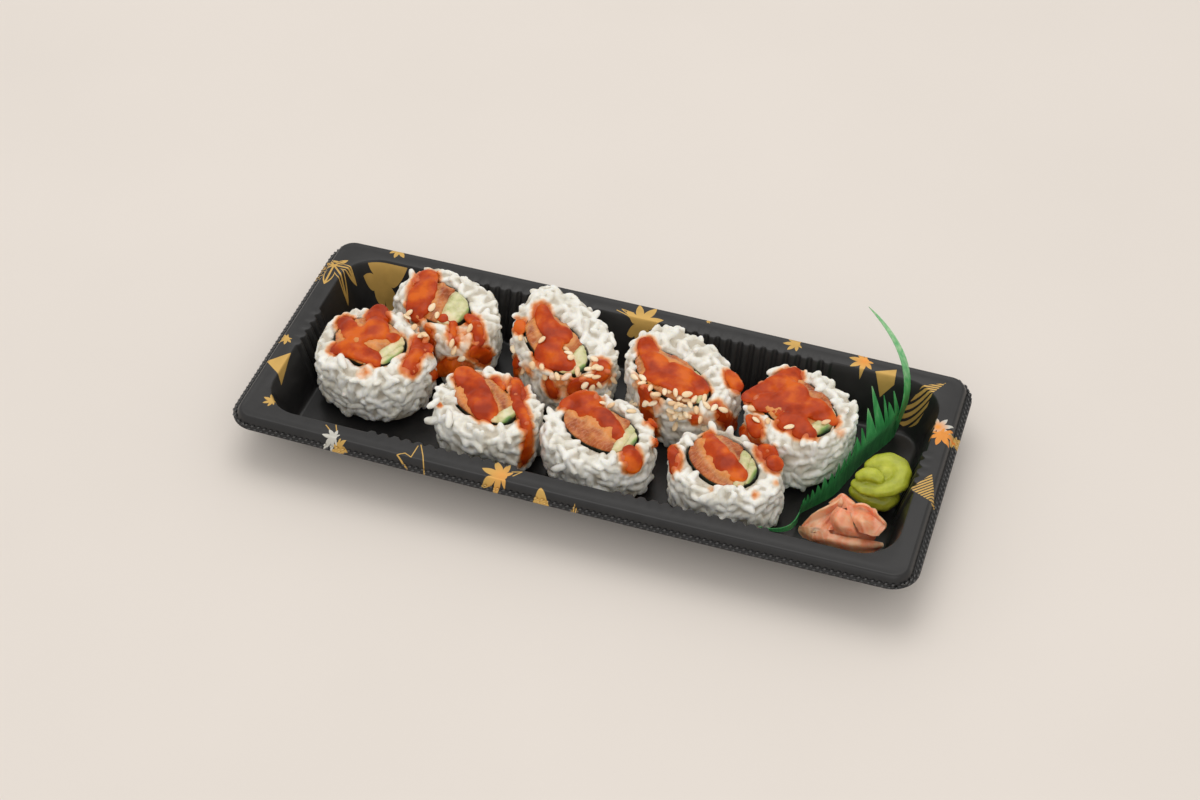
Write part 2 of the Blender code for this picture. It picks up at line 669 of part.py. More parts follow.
def ginger_slice(spec):
    """A slice of ginger: an oval sheet folded over along its length, as a closed wavy slab."""
    columns, rows = GINGER_GRID
    turn = Matrix.Rotation(math.radians(spec["turn"]), 3, "Z")
    floor = FOOD_BASE
    top = []
    for r in range(rows):
        v = 2 * r / (rows - 1) - 1
        for c in range(columns):
            u = 2 * c / (columns - 1) - 1
            wide = math.sqrt(max(0.08, 1 - 0.75 * u * u))
            x = spec["size"][0] / 2 * u
            y = spec["size"][1] / 2 * v * wide
            wave = math.sin(2.6 * u + spec["phase"]) * math.cos(2.2 * v + 0.7 * spec["phase"])
            z = spec["rise"] + spec["fold"] * (0.55 * (1 - v * v) + 0.30 * wave) - 0.0020 * u * u
            place = turn @ Vector((x, y, 0)) + Vector((*spec["at"], 0)) + Vector((*GINGER_CENTRE, 0))
            top.append(Vector((place.x, place.y, max(floor + z, floor + GINGER_THICK))))
    under = [Vector((p.x, p.y, p.z - GINGER_THICK)) for p in top]
    count = rows * columns
    faces = []
    for r in range(rows - 1):
        for c in range(columns - 1):
            a = r * columns + c
            b = a + columns
            faces.append((a, a + 1, b + 1, b))
            faces.append((count + a, count + b, count + b + 1, count + a + 1))
    rim = [c for c in range(columns)]
    rim += [(r + 1) * columns - 1 for r in range(1, rows)]
    rim += [count - 1 - c for c in range(1, columns)]
    rim += [r * columns for r in range(rows - 2, 0, -1)]
    for k, a in enumerate(rim):
        b = rim[(k + 1) % len(rim)]
        faces.append((a, b, count + b, count + a))
    return top + under, faces


def make_ginger(material):
    first, *others = [ginger_slice(spec) for spec in GINGER_SLICES]
    body = new_object("ginger", *first, material)
    core = ellipsoid((*GINGER_CENTRE, FOOD_BASE + GINGER_CORE[2]), GINGER_CORE, 6, 12)
    fuse(body, others + [core])
    body.data.shade_smooth()
    body.data.set_sharp_from_angle(angle=math.radians(60))
    return body


def path_point(share):
    """A place along the leaf's foot, and the direction square to it."""
    places = [Vector(p) for p in LEAF_PATH]
    spans = len(places) - 1
    at = min(share * spans, spans - 1e-6)
    k = int(at)
    t = at - k
    p0 = places[max(k - 1, 0)]
    p1 = places[k]
    p2 = places[k + 1]
    p3 = places[min(k + 2, spans)]
    here = 0.5 * (2 * p1 + (p2 - p0) * t + (2 * p0 - 5 * p1 + 4 * p2 - p3) * t * t
                  + (3 * p1 - p0 - 3 * p2 + p3) * t ** 3)
    along = (p2 - p1).normalized()
    return here, Vector((along.y, -along.x))


def grow_blade(sheet, sides, faces, edge, line, across, facings, half_width):
    """A blade that grows from an edge of the sheet along a curve and narrows to its tip."""
    a, b = edge
    root, bend, tip = line
    for k in range(1, BLADE_STEPS):
        t = k / BLADE_STEPS
        middle = (1 - t) ** 2 * root + 2 * t * (1 - t) * bend + t * t * tip
        half = half_width * (1 - t) ** 0.7
        here = len(sheet)
        sheet += [middle - across * half, middle + across * half]
        sides += [facings[0].lerp(facings[1], t).normalized()] * 2
        faces += [(a, b, here + 1), (a, here + 1, here)]
        a = here
        b = here + 1
    sheet.append(tip)
    sides.append(facings[1])
    faces.append((a, b, len(sheet) - 1))


def thickened(sheet, sides, faces):
    """The closed solid of a sheet: both of its faces and the strip round its edge."""
    total = len(sheet)
    points = [p + Vector((*side, 0)) * LEAF_THICK / 2 for p, side in zip(sheet, sides)]
    points += [p - Vector((*side, 0)) * LEAF_THICK / 2 for p, side in zip(sheet, sides)]
    both = faces + [tuple(total + i for i in reversed(face)) for face in faces]
    edges = {(face[i], face[(i + 1) % 3]) for face in faces for i in range(3)}
    for a, b in sorted(edges):
        if (b, a) not in edges:
            both.append((b, a, total + a))
            both.append((b, total + a, total + b))
    return points, both


def make_leaf(material):
    """A thin standing strip with spikes, a blade at its front and a long one that curls over the rim."""
    draw = random.Random(7)
    floor = FOOD_BASE
    count = LEAF_SPIKES + 1
    feet = []
    shoulders = []
    tips = []
    along = []
    for k in range(count):
        share = k / LEAF_SPIKES
        here, side = path_point(share)
        grown = min(1.0, max(0.0, (share - LEAF_BAND_GROWTH[0]) / LEAF_BAND_GROWTH[1]))
        band = LEAF_BAND[0] + (LEAF_BAND[1] - LEAF_BAND[0]) * grown
        out = side * (LEAF_LEAN * band / LEAF_BAND[1] + LEAF_WAVE * math.sin(11 * share))
        feet.append(Vector((here.x, here.y, floor)))
        shoulders.append(Vector((here.x + out.x, here.y + out.y, floor + band)))
        along.append(side)
    for k in range(LEAF_SPIKES):
        share = (k + 0.5) / LEAF_SPIKES
        here, side = path_point(share)
        tall = LEAF_SPIKE[0] + (LEAF_SPIKE[1] - LEAF_SPIKE[0]) * draw.uniform(0.45, 1.0) * share ** 2
        out = side * (LEAF_LEAN + tall * 0.16)
        back = (feet[k] - feet[k + 1]).normalized() * tall * LEAF_SWEEP
        tips.append(Vector((here.x + out.x + back.x, here.y + out.y + back.y, shoulders[k].z + tall)))
    sheet = feet + shoulders + tips
    sides = along + along + [path_point((k + 0.5) / LEAF_SPIKES)[1] for k in range(LEAF_SPIKES)]
    faces = []
    for k in range(LEAF_SPIKES):
        faces.append((k, k + 1, count + k))
        faces.append((k + 1, count + k + 1, count + k))
        faces.append((count + k, count + k + 1, 2 * count + k))
    onward = (feet[-1] - feet[-2]).normalized()
    back_line = ((feet[-1] + shoulders[-1]) / 2, Vector(BLADE_BEND), Vector(BLADE_TIP))
    grow_blade(sheet, sides, faces, (2 * count - 1, count - 1), back_line, onward, (along[-1], along[-1]),
               BLADE_HALF_WIDTH)
    front_line = ((feet[0] + shoulders[0]) / 2, *(Vector(place) for place in FRONT_BLADE))
    ahead = (front_line[2] - front_line[1]).to_2d().normalized()
    turned_side = Vector((-ahead.y, ahead.x))
    grow_blade(sheet, sides, faces, (0, count), front_line, Vector((0, 0, 1)), (along[0], turned_side),
               FRONT_BLADE_HALF_WIDTH)
    points, both = thickened(sheet, sides, faces)
    return new_object("leaf_divider", points, both, material, smooth=False)


def main():
    clear_scene()
    black_plastic = make_material("black_plastic", (0.012, 0.012, 0.013), 0.28)
    rice = make_material("rice", (0.80, 0.79, 0.74), 0.45)
    seaweed = make_material("seaweed", (0.010, 0.014, 0.009), 0.50)
    salmon = make_material("salmon", (0.62, 0.16, 0.05), 0.40)
    cucumber = make_material("cucumber", (0.55, 0.62, 0.30), 0.35)
    paste = make_material("wasabi_paste", (0.42, 0.50, 0.06), 0.50)
    pink = make_material("pickled_ginger", (0.86, 0.36, 0.24), 0.35)
    green_film = make_material("green_film", (0.02, 0.26, 0.08), 0.30)
    make_tray(black_plastic)
    planes = pressed_planes()
    for number, roll in ROLLS.items():
        make_rice(number, roll, planes[number], rice)
        make_nori(number, roll, seaweed)
        make_filling(number, roll, salmon, cucumber)
    make_wasabi(paste)
    make_ginger(pink)
    make_leaf(green_film)


main()
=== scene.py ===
import math
import random

import bmesh
import bpy
import numpy as np
from mathutils import Matrix, Vector, noise
from mathutils.bvhtree import BVHTree


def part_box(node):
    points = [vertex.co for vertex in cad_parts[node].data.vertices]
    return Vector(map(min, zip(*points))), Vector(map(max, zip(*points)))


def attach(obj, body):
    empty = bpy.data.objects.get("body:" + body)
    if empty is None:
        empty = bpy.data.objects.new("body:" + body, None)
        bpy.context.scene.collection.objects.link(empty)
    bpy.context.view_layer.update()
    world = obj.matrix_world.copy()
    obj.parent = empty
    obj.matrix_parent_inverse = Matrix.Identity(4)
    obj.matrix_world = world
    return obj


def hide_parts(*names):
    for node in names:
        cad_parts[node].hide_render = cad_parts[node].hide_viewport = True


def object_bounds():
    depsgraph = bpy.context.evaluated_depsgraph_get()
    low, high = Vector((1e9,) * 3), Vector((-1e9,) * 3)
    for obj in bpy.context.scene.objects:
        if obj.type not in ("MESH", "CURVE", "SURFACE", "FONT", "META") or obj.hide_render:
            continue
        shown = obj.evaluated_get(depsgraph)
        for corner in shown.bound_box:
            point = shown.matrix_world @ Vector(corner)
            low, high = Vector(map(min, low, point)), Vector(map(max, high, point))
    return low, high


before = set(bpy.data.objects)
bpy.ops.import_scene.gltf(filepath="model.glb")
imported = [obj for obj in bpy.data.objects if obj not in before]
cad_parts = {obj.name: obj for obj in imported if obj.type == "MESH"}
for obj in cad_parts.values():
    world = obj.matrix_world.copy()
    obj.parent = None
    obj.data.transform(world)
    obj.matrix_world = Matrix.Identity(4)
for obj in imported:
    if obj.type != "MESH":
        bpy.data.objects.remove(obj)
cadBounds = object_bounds()
scene = bpy.context.scene
mm = 0.001

# camera first: the photograph's viewing angle, worked out from the tray's rim
photo = dict(width=1200, height=800, focal=2178.7, azimuth=18.162, elevation=44.607, roll=0.348,
             shiftX=3.937, shiftY=3.565, distance=0.68828, rimHeight=0.0185)


def cameraAxes():
    around = math.radians(photo["azimuth"])
    above = math.radians(photo["elevation"])
    ahead = -Vector((math.sin(around) * math.cos(above),
                     -math.cos(around) * math.cos(above),
                     math.sin(above)))
    level = ahead.cross(Vector((0, 0, 1))).normalized()
    upright = level.cross(ahead)
    roll = math.radians(photo["roll"])
    right = level * math.cos(roll) + upright * math.sin(roll)
    up = upright * math.cos(roll) - level * math.sin(roll)
    return right, up, ahead


right, up, ahead = cameraAxes()
perPixel = photo["distance"] / photo["focal"]
eye = Vector((0, 0, photo["rimHeight"])) - ahead * photo["distance"]
eye -= right * photo["shiftX"] * perPixel + up * photo["shiftY"] * perPixel


def makeCamera():
    data = bpy.data.cameras.new("photoCamera")
    data.sensor_width = 36
    data.lens = photo["focal"] / photo["width"] * data.sensor_width
    data.clip_start = 0.01
    data.clip_end = 20
    camera = bpy.data.objects.new("photoCamera", data)
    scene.collection.objects.link(camera)
    turn = Matrix((right, up, -ahead)).transposed().to_4x4()
    camera.matrix_world = Matrix.Translation(eye) @ turn
    scene.camera = camera


def pixelRay(px, py):
    across = (px - photo["width"] / 2) / photo["focal"]
    down = (py - photo["height"] / 2) / photo["focal"]
    return (ahead + right * across - up * down).normalized()


def pixelAt(px, py, height):
    # the point at this height over the table that the pixel shows
    ray = pixelRay(px, py)
    return eye + ray * ((height - eye.z) / ray.z)


makeCamera()


# small helpers for nodes and meshes
def addNode(tree, kind, inputs=None, **settings):
    made = tree.nodes.new(kind)
    for name, value in settings.items():
        setattr(made, name, value)
    for key, value in (inputs or {}).items():
        socket = made.inputs[key]
        if isinstance(value, bpy.types.NodeSocket):
            tree.links.new(value, socket)
        else:
            socket.default_value = value
    return made


def newTree(name, kind, inputs, outputs):
    tree = bpy.data.node_groups.new(name, kind)
    for label, socketType, value in inputs:
        socket = tree.interface.new_socket(name=label, in_out="INPUT", socket_type=socketType)
        if value is not None:
            socket.default_value = value
    for label, socketType in outputs:
        tree.interface.new_socket(name=label, in_out="OUTPUT", socket_type=socketType)
    return tree, tree.nodes.new("NodeGroupInput"), tree.nodes.new("NodeGroupOutput")


def sockets(kind, **values):
    return [(name, f"NodeSocket{kind}", value) for name, value in values.items()]


def objectCoords(tree):
    return addNode(tree, "ShaderNodeTexCoord").outputs["Object"]


def mathNode(tree, operation, first, second=0.0, third=0.0, clamp=False):
    values = {0: first, 1: second, 2: third}
    return addNode(tree, "ShaderNodeMath", values, operation=operation, use_clamp=clamp).outputs[0]


def mixColour(tree, factor, first, second):
    made = addNode(tree, "ShaderNodeMix", {0: factor, 6: first, 7: second}, data_type="RGBA")
    return made.outputs[2]


def rampNode(tree, factor, *stops):
    made = addNode(tree, "ShaderNodeValToRGB", {0: factor})
    elements = made.color_ramp.elements
    while len(elements) < len(stops):
        elements.new(0.5)
    for element, (position, colour) in zip(elements, stops):
        element.position = position
        element.color = (*colour, 1)
    return made.outputs[0]


def groupNode(tree, group, **values):
    made = tree.nodes.new("ShaderNodeGroup")
    made.node_tree = group
    for name, value in values.items():
        if isinstance(value, bpy.types.NodeSocket):
            tree.links.new(value, made.inputs[name])
        else:
            made.inputs[name].default_value = value
    return made


def linkedObject(name, mesh):
    obj = bpy.data.objects.new(name, mesh)
    scene.collection.objects.link(obj)
    return obj


def meshObject(name, points, faces, smooth=True, outward=True):
    mesh = bpy.data.meshes.new(name)
    mesh.from_pydata([tuple(p) for p in points], [], [tuple(f) for f in faces])
    if outward:
        work = bmesh.new()
        work.from_mesh(mesh)
        bmesh.ops.recalc_face_normals(work, faces=work.faces)
        work.to_mesh(mesh)
        work.free()
    if smooth:
        mesh.shade_smooth()
    return linkedObject(name, mesh)


def cadCopy(node, name):
    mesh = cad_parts[node].data.copy()
    mesh.materials.clear()
    work = bmesh.new()
    work.from_mesh(mesh)
    bmesh.ops.remove_doubles(work, verts=work.verts, dist=2e-6)
    work.to_mesh(mesh)
    work.free()
    mesh.name = name
    return linkedObject(name, mesh)


def freeze(obj):
    # the evaluated shape becomes the object's own plain mesh
    graph = bpy.context.evaluated_depsgraph_get()
    made = bpy.data.meshes.new_from_object(obj.evaluated_get(graph), preserve_all_data_layers=True,
                                           depsgraph=graph)
    obj.modifiers.clear()
    old = obj.data
    obj.data = made
    if old.users == 0:
        bpy.data.meshes.remove(old)
    made.name = obj.name
    return obj


def addModifier(obj, kind, **settings):
    made = obj.modifiers.new(kind.lower(), kind)
    for name, value in settings.items():
        setattr(made, name, value)
    return made


def runNodes(obj, tree, **values):
    modifier = obj.modifiers.new("shape", "NODES")
    modifier.node_group = tree
    for item in tree.interface.items_tree:
        if item.item_type == "SOCKET" and item.in_out == "INPUT" and item.name in values:
            modifier[item.identifier] = values[item.name]
    return freeze(obj)


def finishPiece(obj, material, slot, *nodes):
    obj.data.materials.clear()
    obj.data.materials.append(material)
    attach(obj, "root")
    if nodes:
        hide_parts(*nodes)
    return obj


def storeValues(mesh, name, values):
    layer = mesh.attributes.new(name, "FLOAT", "POINT")
    layer.data.foreach_set("value", np.asarray(values, np.float32))


def vertexArray(mesh):
    places = np.empty(len(mesh.vertices) * 3, np.float32)
    mesh.vertices.foreach_get("co", places)
    return places.reshape(-1, 3)


def normalArray(mesh):
    directions = np.empty(len(mesh.vertices) * 3, np.float32)
    mesh.vertices.foreach_get("normal", directions)
    return directions.reshape(-1, 3)


def shapeToCopy(name, points, faces):
    # a shape that stands in the scene only as copies
    obj = meshObject(name, points, faces)
    scene.collection.objects.unlink(obj)
    return obj


def joinStrip(first, second, count, faces):
    for i in range(count):
        j = (i + 1) % count
        faces.append((first + i, first + j, second + j, second + i))


def spindleFaces(rings, sides):
    # from one tip over the rings to the other tip
    faces = [(0, 1 + k, 1 + (k + 1) % sides) for k in range(sides)]
    for r in range(rings - 1):
        joinStrip(1 + r * sides, 1 + (r + 1) * sides, sides, faces)
    base = 1 + (rings - 1) * sides
    return faces + [(base + (k + 1) % sides, base + k, base + sides) for k in range(sides)]


def curvePoint(a, b, c, d, t):
    # a place between b and c on a smooth curve through all four
    return 0.5 * (2 * b + (c - a) * t + (2 * a - 5 * b + 4 * c - d) * t * t
                  + (3 * b - a - 3 * c + d) * t ** 3)


def treeOf(*objects):
    # one search tree over several meshes, to drop things on them along a pixel's ray
    points = []
    faces = []
    for obj in objects:
        start = len(points)
        points += [v.co.copy() for v in obj.data.vertices]
        faces += [tuple(start + i for i in p.vertices) for p in obj.data.polygons]
    return BVHTree.FromPolygons(points, faces)


print("camera ready")

# shader groups that several materials use


def makeGrainGroup():
    # fine unevenness: a mask and a height at two sizes
    tree, source, result = newTree(
        "fineUnevenness", "ShaderNodeTree",
        [("Scale", "NodeSocketFloat", 300.0), ("Fine", "NodeSocketFloat", 4.0),
         ("Contrast", "NodeSocketFloat", 1.0)],
        [("Mask", "NodeSocketFloat"), ("Height", "NodeSocketFloat")])
    coords = objectCoords(tree)
    coarse = addNode(tree, "ShaderNodeTexNoise",
                     {"Vector": coords, "Scale": source.outputs["Scale"], "Detail": 3.0})
    fineScale = mathNode(tree, "MULTIPLY", source.outputs["Scale"], source.outputs["Fine"])
    fine = addNode(tree, "ShaderNodeTexNoise", {"Vector": coords, "Scale": fineScale, "Detail": 2.0})
    centred = mathNode(tree, "SUBTRACT", coarse.outputs[0], 0.5)
    spread = mathNode(tree, "MULTIPLY_ADD", centred, source.outputs["Contrast"], 0.5, clamp=True)
    height = mathNode(tree, "MULTIPLY_ADD", fine.outputs[0], 0.35, spread)
    tree.links.new(spread, result.inputs["Mask"])
    tree.links.new(height, result.inputs["Height"])
    return tree


def makeStainGroup():
    # sauce soaked into what lies under it: deep orange close by, yellow further out
    tree, source, result = newTree(
        "sauceStain", "ShaderNodeTree",
        [("Clean", "NodeSocketColor", (1, 1, 1, 1)), ("Strength", "NodeSocketFloat", 1.0)],
        [("Colour", "NodeSocketColor")])
    soaked = addNode(tree, "ShaderNodeAttribute", attribute_name="stain")
    coords = objectCoords(tree)
    patches = addNode(tree, "ShaderNodeTexNoise", {"Vector": coords, "Scale": 330.0, "Detail": 2.0})
    broken = mathNode(tree, "MULTIPLY_ADD", patches.outputs[0], 0.9, -0.45)
    rough = mathNode(tree, "ADD", soaked.outputs["Fac"], broken)
    here = mathNode(tree, "MULTIPLY", soaked.outputs["Fac"], 4.0, clamp=True)
    mask = mathNode(tree, "MULTIPLY", rough, here, clamp=True)
    mask = mathNode(tree, "MULTIPLY", mask, source.outputs["Strength"], clamp=True)
    tint = rampNode(tree, mask, (0.0, (0.84, 0.58, 0.30)), (0.40, (0.80, 0.33, 0.08)),
                    (1.0, (0.58, 0.105, 0.012)))
    share = mathNode(tree, "MULTIPLY", mask, 1.5, clamp=True)
    colour = mixColour(tree, share, source.outputs["Clean"], tint)
    tree.links.new(colour, result.inputs["Colour"])
    return tree


def placeFrom(tree, take):
    # how far a place lies from the middle or start of a mark
    place = addNode(tree, "ShaderNodeSeparateXYZ", {0: take["Vector"]}).outputs
    return mathNode(tree, "SUBTRACT", place[0], take["X"]), mathNode(tree, "SUBTRACT", place[1], take["Y"])


def makeMapleGroup():
    # a seven-lobed maple leaf in polar form, solid or drawn as a line with its veins
    values = sockets("Vector", Vector=None) + sockets("Float", X=0.0, Y=0.0, Size=0.008, Turn=0.0, Line=0.0)
    tree, source, result = newTree("mapleLeaf", "ShaderNodeTree", values,
                                   [("Mask", "NodeSocketFloat"), ("Heart", "NodeSocketFloat")])
    take = source.outputs
    lobeAngle = math.radians(44)
    dx, dy = placeFrom(tree, take)
    reach = mathNode(tree, "SQRT",
                     mathNode(tree, "MULTIPLY_ADD", dx, dx, mathNode(tree, "MULTIPLY", dy, dy)))
    angle = mathNode(tree, "SUBTRACT", mathNode(tree, "ARCTAN2", dy, dx), take["Turn"])
    angle = mathNode(tree, "WRAP", angle, math.pi, -math.pi)
    lobe = mathNode(tree, "ROUND", mathNode(tree, "DIVIDE", angle, lobeAngle))
    lobe = mathNode(tree, "MINIMUM", mathNode(tree, "MAXIMUM", lobe, -3.0), 3.0)
    middle = mathNode(tree, "MULTIPLY", lobe, lobeAngle)
    off = mathNode(tree, "ABSOLUTE", mathNode(tree, "SUBTRACT", angle, middle))
    share = mathNode(tree, "SUBTRACT", 1.0, mathNode(tree, "DIVIDE", off, lobeAngle / 2), clamp=True)
    point = mathNode(tree, "POWER", share, 0.9)
    shape = mathNode(tree, "MULTIPLY_ADD", point, 0.56, 0.44)
    length = mathNode(tree, "MULTIPLY_ADD", mathNode(tree, "COSINE", mathNode(tree, "DIVIDE", middle, 2.0)),
                      0.8, 0.2)
    edge = mathNode(tree, "MULTIPLY", mathNode(tree, "MULTIPLY", shape, length), take["Size"])
    solid = mathNode(tree, "LESS_THAN", reach, edge)
    innerEdge = mathNode(tree, "SUBTRACT", edge, mathNode(tree, "MULTIPLY", take["Size"], take["Line"]))
    hollow = mathNode(tree, "LESS_THAN", reach, innerEdge)
    aside = mathNode(tree, "MULTIPLY", reach, mathNode(tree, "SINE", off))
    veinWidth = mathNode(tree, "MULTIPLY", mathNode(tree, "MULTIPLY", take["Size"], take["Line"]), 0.33)
    vein = mathNode(tree, "LESS_THAN", aside, veinWidth)
    drawn = mathNode(tree, "GREATER_THAN", take["Line"], 0.001)
    empty = mathNode(tree, "MULTIPLY", hollow, mathNode(tree, "SUBTRACT", 1.0, vein))
    empty = mathNode(tree, "MULTIPLY", empty, drawn)
    mask = mathNode(tree, "MULTIPLY", solid, mathNode(tree, "SUBTRACT", 1.0, empty))
    inward = mathNode(tree, "SUBTRACT", 0.75, mathNode(tree, "DIVIDE", reach, take["Size"]), clamp=True)
    tree.links.new(mask, result.inputs["Mask"])
    tree.links.new(mathNode(tree, "MULTIPLY", mask, inward), result.inputs["Heart"])
    return tree


def turnedPlace(tree, take):
    # how far a place lies along and aside of a mark that is turned
    dx, dy = placeFrom(tree, take)
    cosine = mathNode(tree, "COSINE", take["Turn"])
    sine = mathNode(tree, "SINE", take["Turn"])
    along = mathNode(tree, "MULTIPLY_ADD", dx, cosine, mathNode(tree, "MULTIPLY", dy, sine))
    aside = mathNode(tree, "SUBTRACT", mathNode(tree, "MULTIPLY", dy, cosine),
                     mathNode(tree, "MULTIPLY", dx, sine))
    return along, aside


def makeStrokeGroup():
    # a fine drawn line between two points
    values = sockets("Vector", Vector=None) + sockets(
        "Float", X=0.0, Y=0.0, Turn=0.0, Length=0.01, Width=0.0002)
    tree, source, result = newTree("goldStroke", "ShaderNodeTree", values, [("Mask", "NodeSocketFloat")])
    take = source.outputs
    along, aside = turnedPlace(tree, take)
    beyond = mathNode(tree, "SUBTRACT", along, take["Length"])
    past = mathNode(tree, "MAXIMUM",
                    mathNode(tree, "MAXIMUM", beyond, mathNode(tree, "MULTIPLY", along, -1.0)), 0.0)
    square = mathNode(tree, "MULTIPLY_ADD", past, past, mathNode(tree, "MULTIPLY", aside, aside))
    mask = mathNode(tree, "LESS_THAN", mathNode(tree, "SQRT", square), take["Width"])
    tree.links.new(mask, result.inputs["Mask"])
    return tree


def makePatchGroup():
    # a triangle, trapezoid or fan, plain or in stripes along its length
    values = sockets("Vector", Vector=None)
    values += sockets("Float", X=0.0, Y=0.0, Turn=0.0, Length=0.01,
                      Start=0.0, End=0.004, Stripe=0.0, Slant=0.0)
    tree, source, result = newTree("goldPatch", "ShaderNodeTree", values, [("Mask", "NodeSocketFloat")])
    take = source.outputs
    along, aside = turnedPlace(tree, take)
    share = mathNode(tree, "DIVIDE", along, take["Length"])
    growth = mathNode(tree, "SUBTRACT", take["End"], take["Start"])
    half = mathNode(tree, "MULTIPLY_ADD", growth, share, take["Start"])
    inside = mathNode(tree, "LESS_THAN", mathNode(tree, "ABSOLUTE", aside), half)
    after = mathNode(tree, "GREATER_THAN", share, 0.0)
    before = mathNode(tree, "LESS_THAN", share, 1.0)
    field = mathNode(tree, "MULTIPLY", inside, mathNode(tree, "MULTIPLY", after, before))
    pitch = mathNode(tree, "MAXIMUM", take["Stripe"], 0.00001)
    cross = mathNode(tree, "MULTIPLY", aside, mathNode(tree, "COSINE", take["Slant"]))
    cross = mathNode(tree, "SUBTRACT", cross,
                     mathNode(tree, "MULTIPLY", along, mathNode(tree, "SINE", take["Slant"])))
    wave = mathNode(tree, "FRACT", mathNode(tree, "ADD", mathNode(tree, "DIVIDE", cross, pitch), 100.2))
    gap = mathNode(tree, "GREATER_THAN", wave, 0.60)
    striped = mathNode(tree, "GREATER_THAN", take["Stripe"], 0.00002)
    gap = mathNode(tree, "MULTIPLY", gap, striped)
    mask = mathNode(tree, "MULTIPLY", field, mathNode(tree, "SUBTRACT", 1.0, gap))
    tree.links.new(mask, result.inputs["Mask"])
    return tree


fineUnevenness = makeGrainGroup()
sauceStain = makeStainGroup()
mapleLeaf = makeMapleGroup()
goldStroke = makeStrokeGroup()
goldPatch = makePatchGroup()


def newMaterial(name, **constants):
    material = bpy.data.materials.new(name)
    material.use_nodes = True
    tree = material.node_tree
    shader = tree.nodes["Principled BSDF"]
    for label, value in constants.items():
        shader.inputs[label.replace("_", " ")].default_value = value
    return material, tree, shader


def bumpInto(tree, shader, height, strength, distance):
    made = addNode(tree, "ShaderNodeBump", {"Height": height, "Strength": strength, "Distance": distance})
    tree.links.new(made.outputs[0], shader.inputs["Normal"])


def finishShader(tree, shader, colour, uneven, roughness, bump):
    # roughness: its range and its least value; bump: strength and depth
    tree.links.new(colour, shader.inputs["Base Color"])
    tree.links.new(mathNode(tree, "MULTIPLY_ADD", uneven["Mask"], *roughness), shader.inputs["Roughness"])
    bumpInto(tree, shader, uneven["Height"], *bump)


def bandsNode(tree, turn, scale, distortion, detail, detailScale):
    # wavy bands through the shape, for fibres and veins
    turned = addNode(tree, "ShaderNodeMapping", {"Vector": objectCoords(tree), "Rotation": turn})
    inputs = {"Vector": turned.outputs[0], "Scale": scale, "Distortion": distortion, "Detail": detail,
              "Detail Scale": detailScale}
    return addNode(tree, "ShaderNodeTexWave", inputs, wave_type="BANDS").outputs[1]


# the tray: a formed sheet with a fluted well, a flat rim, a skirt and a crimped flange
tray = dict(height=0.0185, sheet=0.0006, foodFloor=0.0009, floorHalf=(0.0968, 0.0318),
            floorCorner=0.0070, footRise=0.0010, footSpread=0.0006, wellHalf=(0.1018, 0.0383),
            wellCorner=0.0125, rimHalf=(0.1070, 0.0437), rimCorner=0.0045, rimBow=0.0007,
            skirtBow=0.0006, skirtOut=0.0016, skirtDrop=0.0023, flangeHalf=(0.1105, 0.0462),
            flangeCorner=0.0090, flangeBow=0.0006, flangeDrop=0.0037, flutePitch=0.00385,
            fluteDepth=0.0011, longFlutes=13, longStart=0.0150, shortFlutes=5, fluteSteps=10,
            cornerSteps=14, shareAtFoot=0.5, shareAboveFoot=0.8, ringsBelow=10)


def fluteStations(start, count):
    stations = []
    steps = tray["fluteSteps"]
    for k in range(count * steps + 1):
        share = (k % steps) / steps
        swell = 1 - abs(2 * share - 1)
        swell = min(1.0, max(0.0, (swell - 0.12) / 0.55))
        stations.append((start + k * tray["flutePitch"] / steps, swell * swell * (3 - 2 * swell)))
    return stations


def sideStations():
    run = tray["longFlutes"] * tray["flutePitch"]
    start = tray["longStart"]
    outer = start + run
    plain = [0.0875, 0.0825, 0.0775, 0.0725, 0.0685]
    long = [(-p, 0.0) for p in plain] + fluteStations(-outer, tray["longFlutes"])
    long += [(-0.0090, 0.0), (0.0, 0.0), (0.0090, 0.0)]
    long += fluteStations(start, tray["longFlutes"]) + [(p, 0.0) for p in reversed(plain)]
    half = tray["shortFlutes"] * tray["flutePitch"] / 2
    short = [(-0.0235, 0.0), (-0.0165, 0.0)] + fluteStations(-half, tray["shortFlutes"])
    short += [(0.0165, 0.0), (0.0235, 0.0)]
    return long, short


longStations, shortStations = sideStations()


def trayRing(half, corner, height, bow=0.0, depth=0.0):
    ring = []
    straight = half[0] - corner
    for side in range(4):
        quarter = Matrix.Rotation(math.radians(90 * side), 3, "Z")
        isLong = side % 2 == 1
        reach = half[1] if isLong else half[0]
        run = half[0] if isLong else half[1]
        for place, inset in (longStations if isLong else shortStations):
            out = reach - inset * depth
            if isLong:
                out += bow * (1 - (place / straight) ** 2)
            ring.append(quarter @ Vector((out, place, height)))
        for k in range(tray["cornerSteps"] + 1):
            angle = math.radians(90 * k / tray["cornerSteps"])
            x = reach - corner + corner * math.cos(angle)
            y = run - corner + corner * math.sin(angle)
            ring.append(quarter @ Vector((x, y, height)))
    return ring


def grown(half, by):
    return (half[0] + by, half[1] + by)


def between(first, second, share):
    return (first[0] + (second[0] - first[0]) * share, first[1] + (second[1] - first[1]) * share)


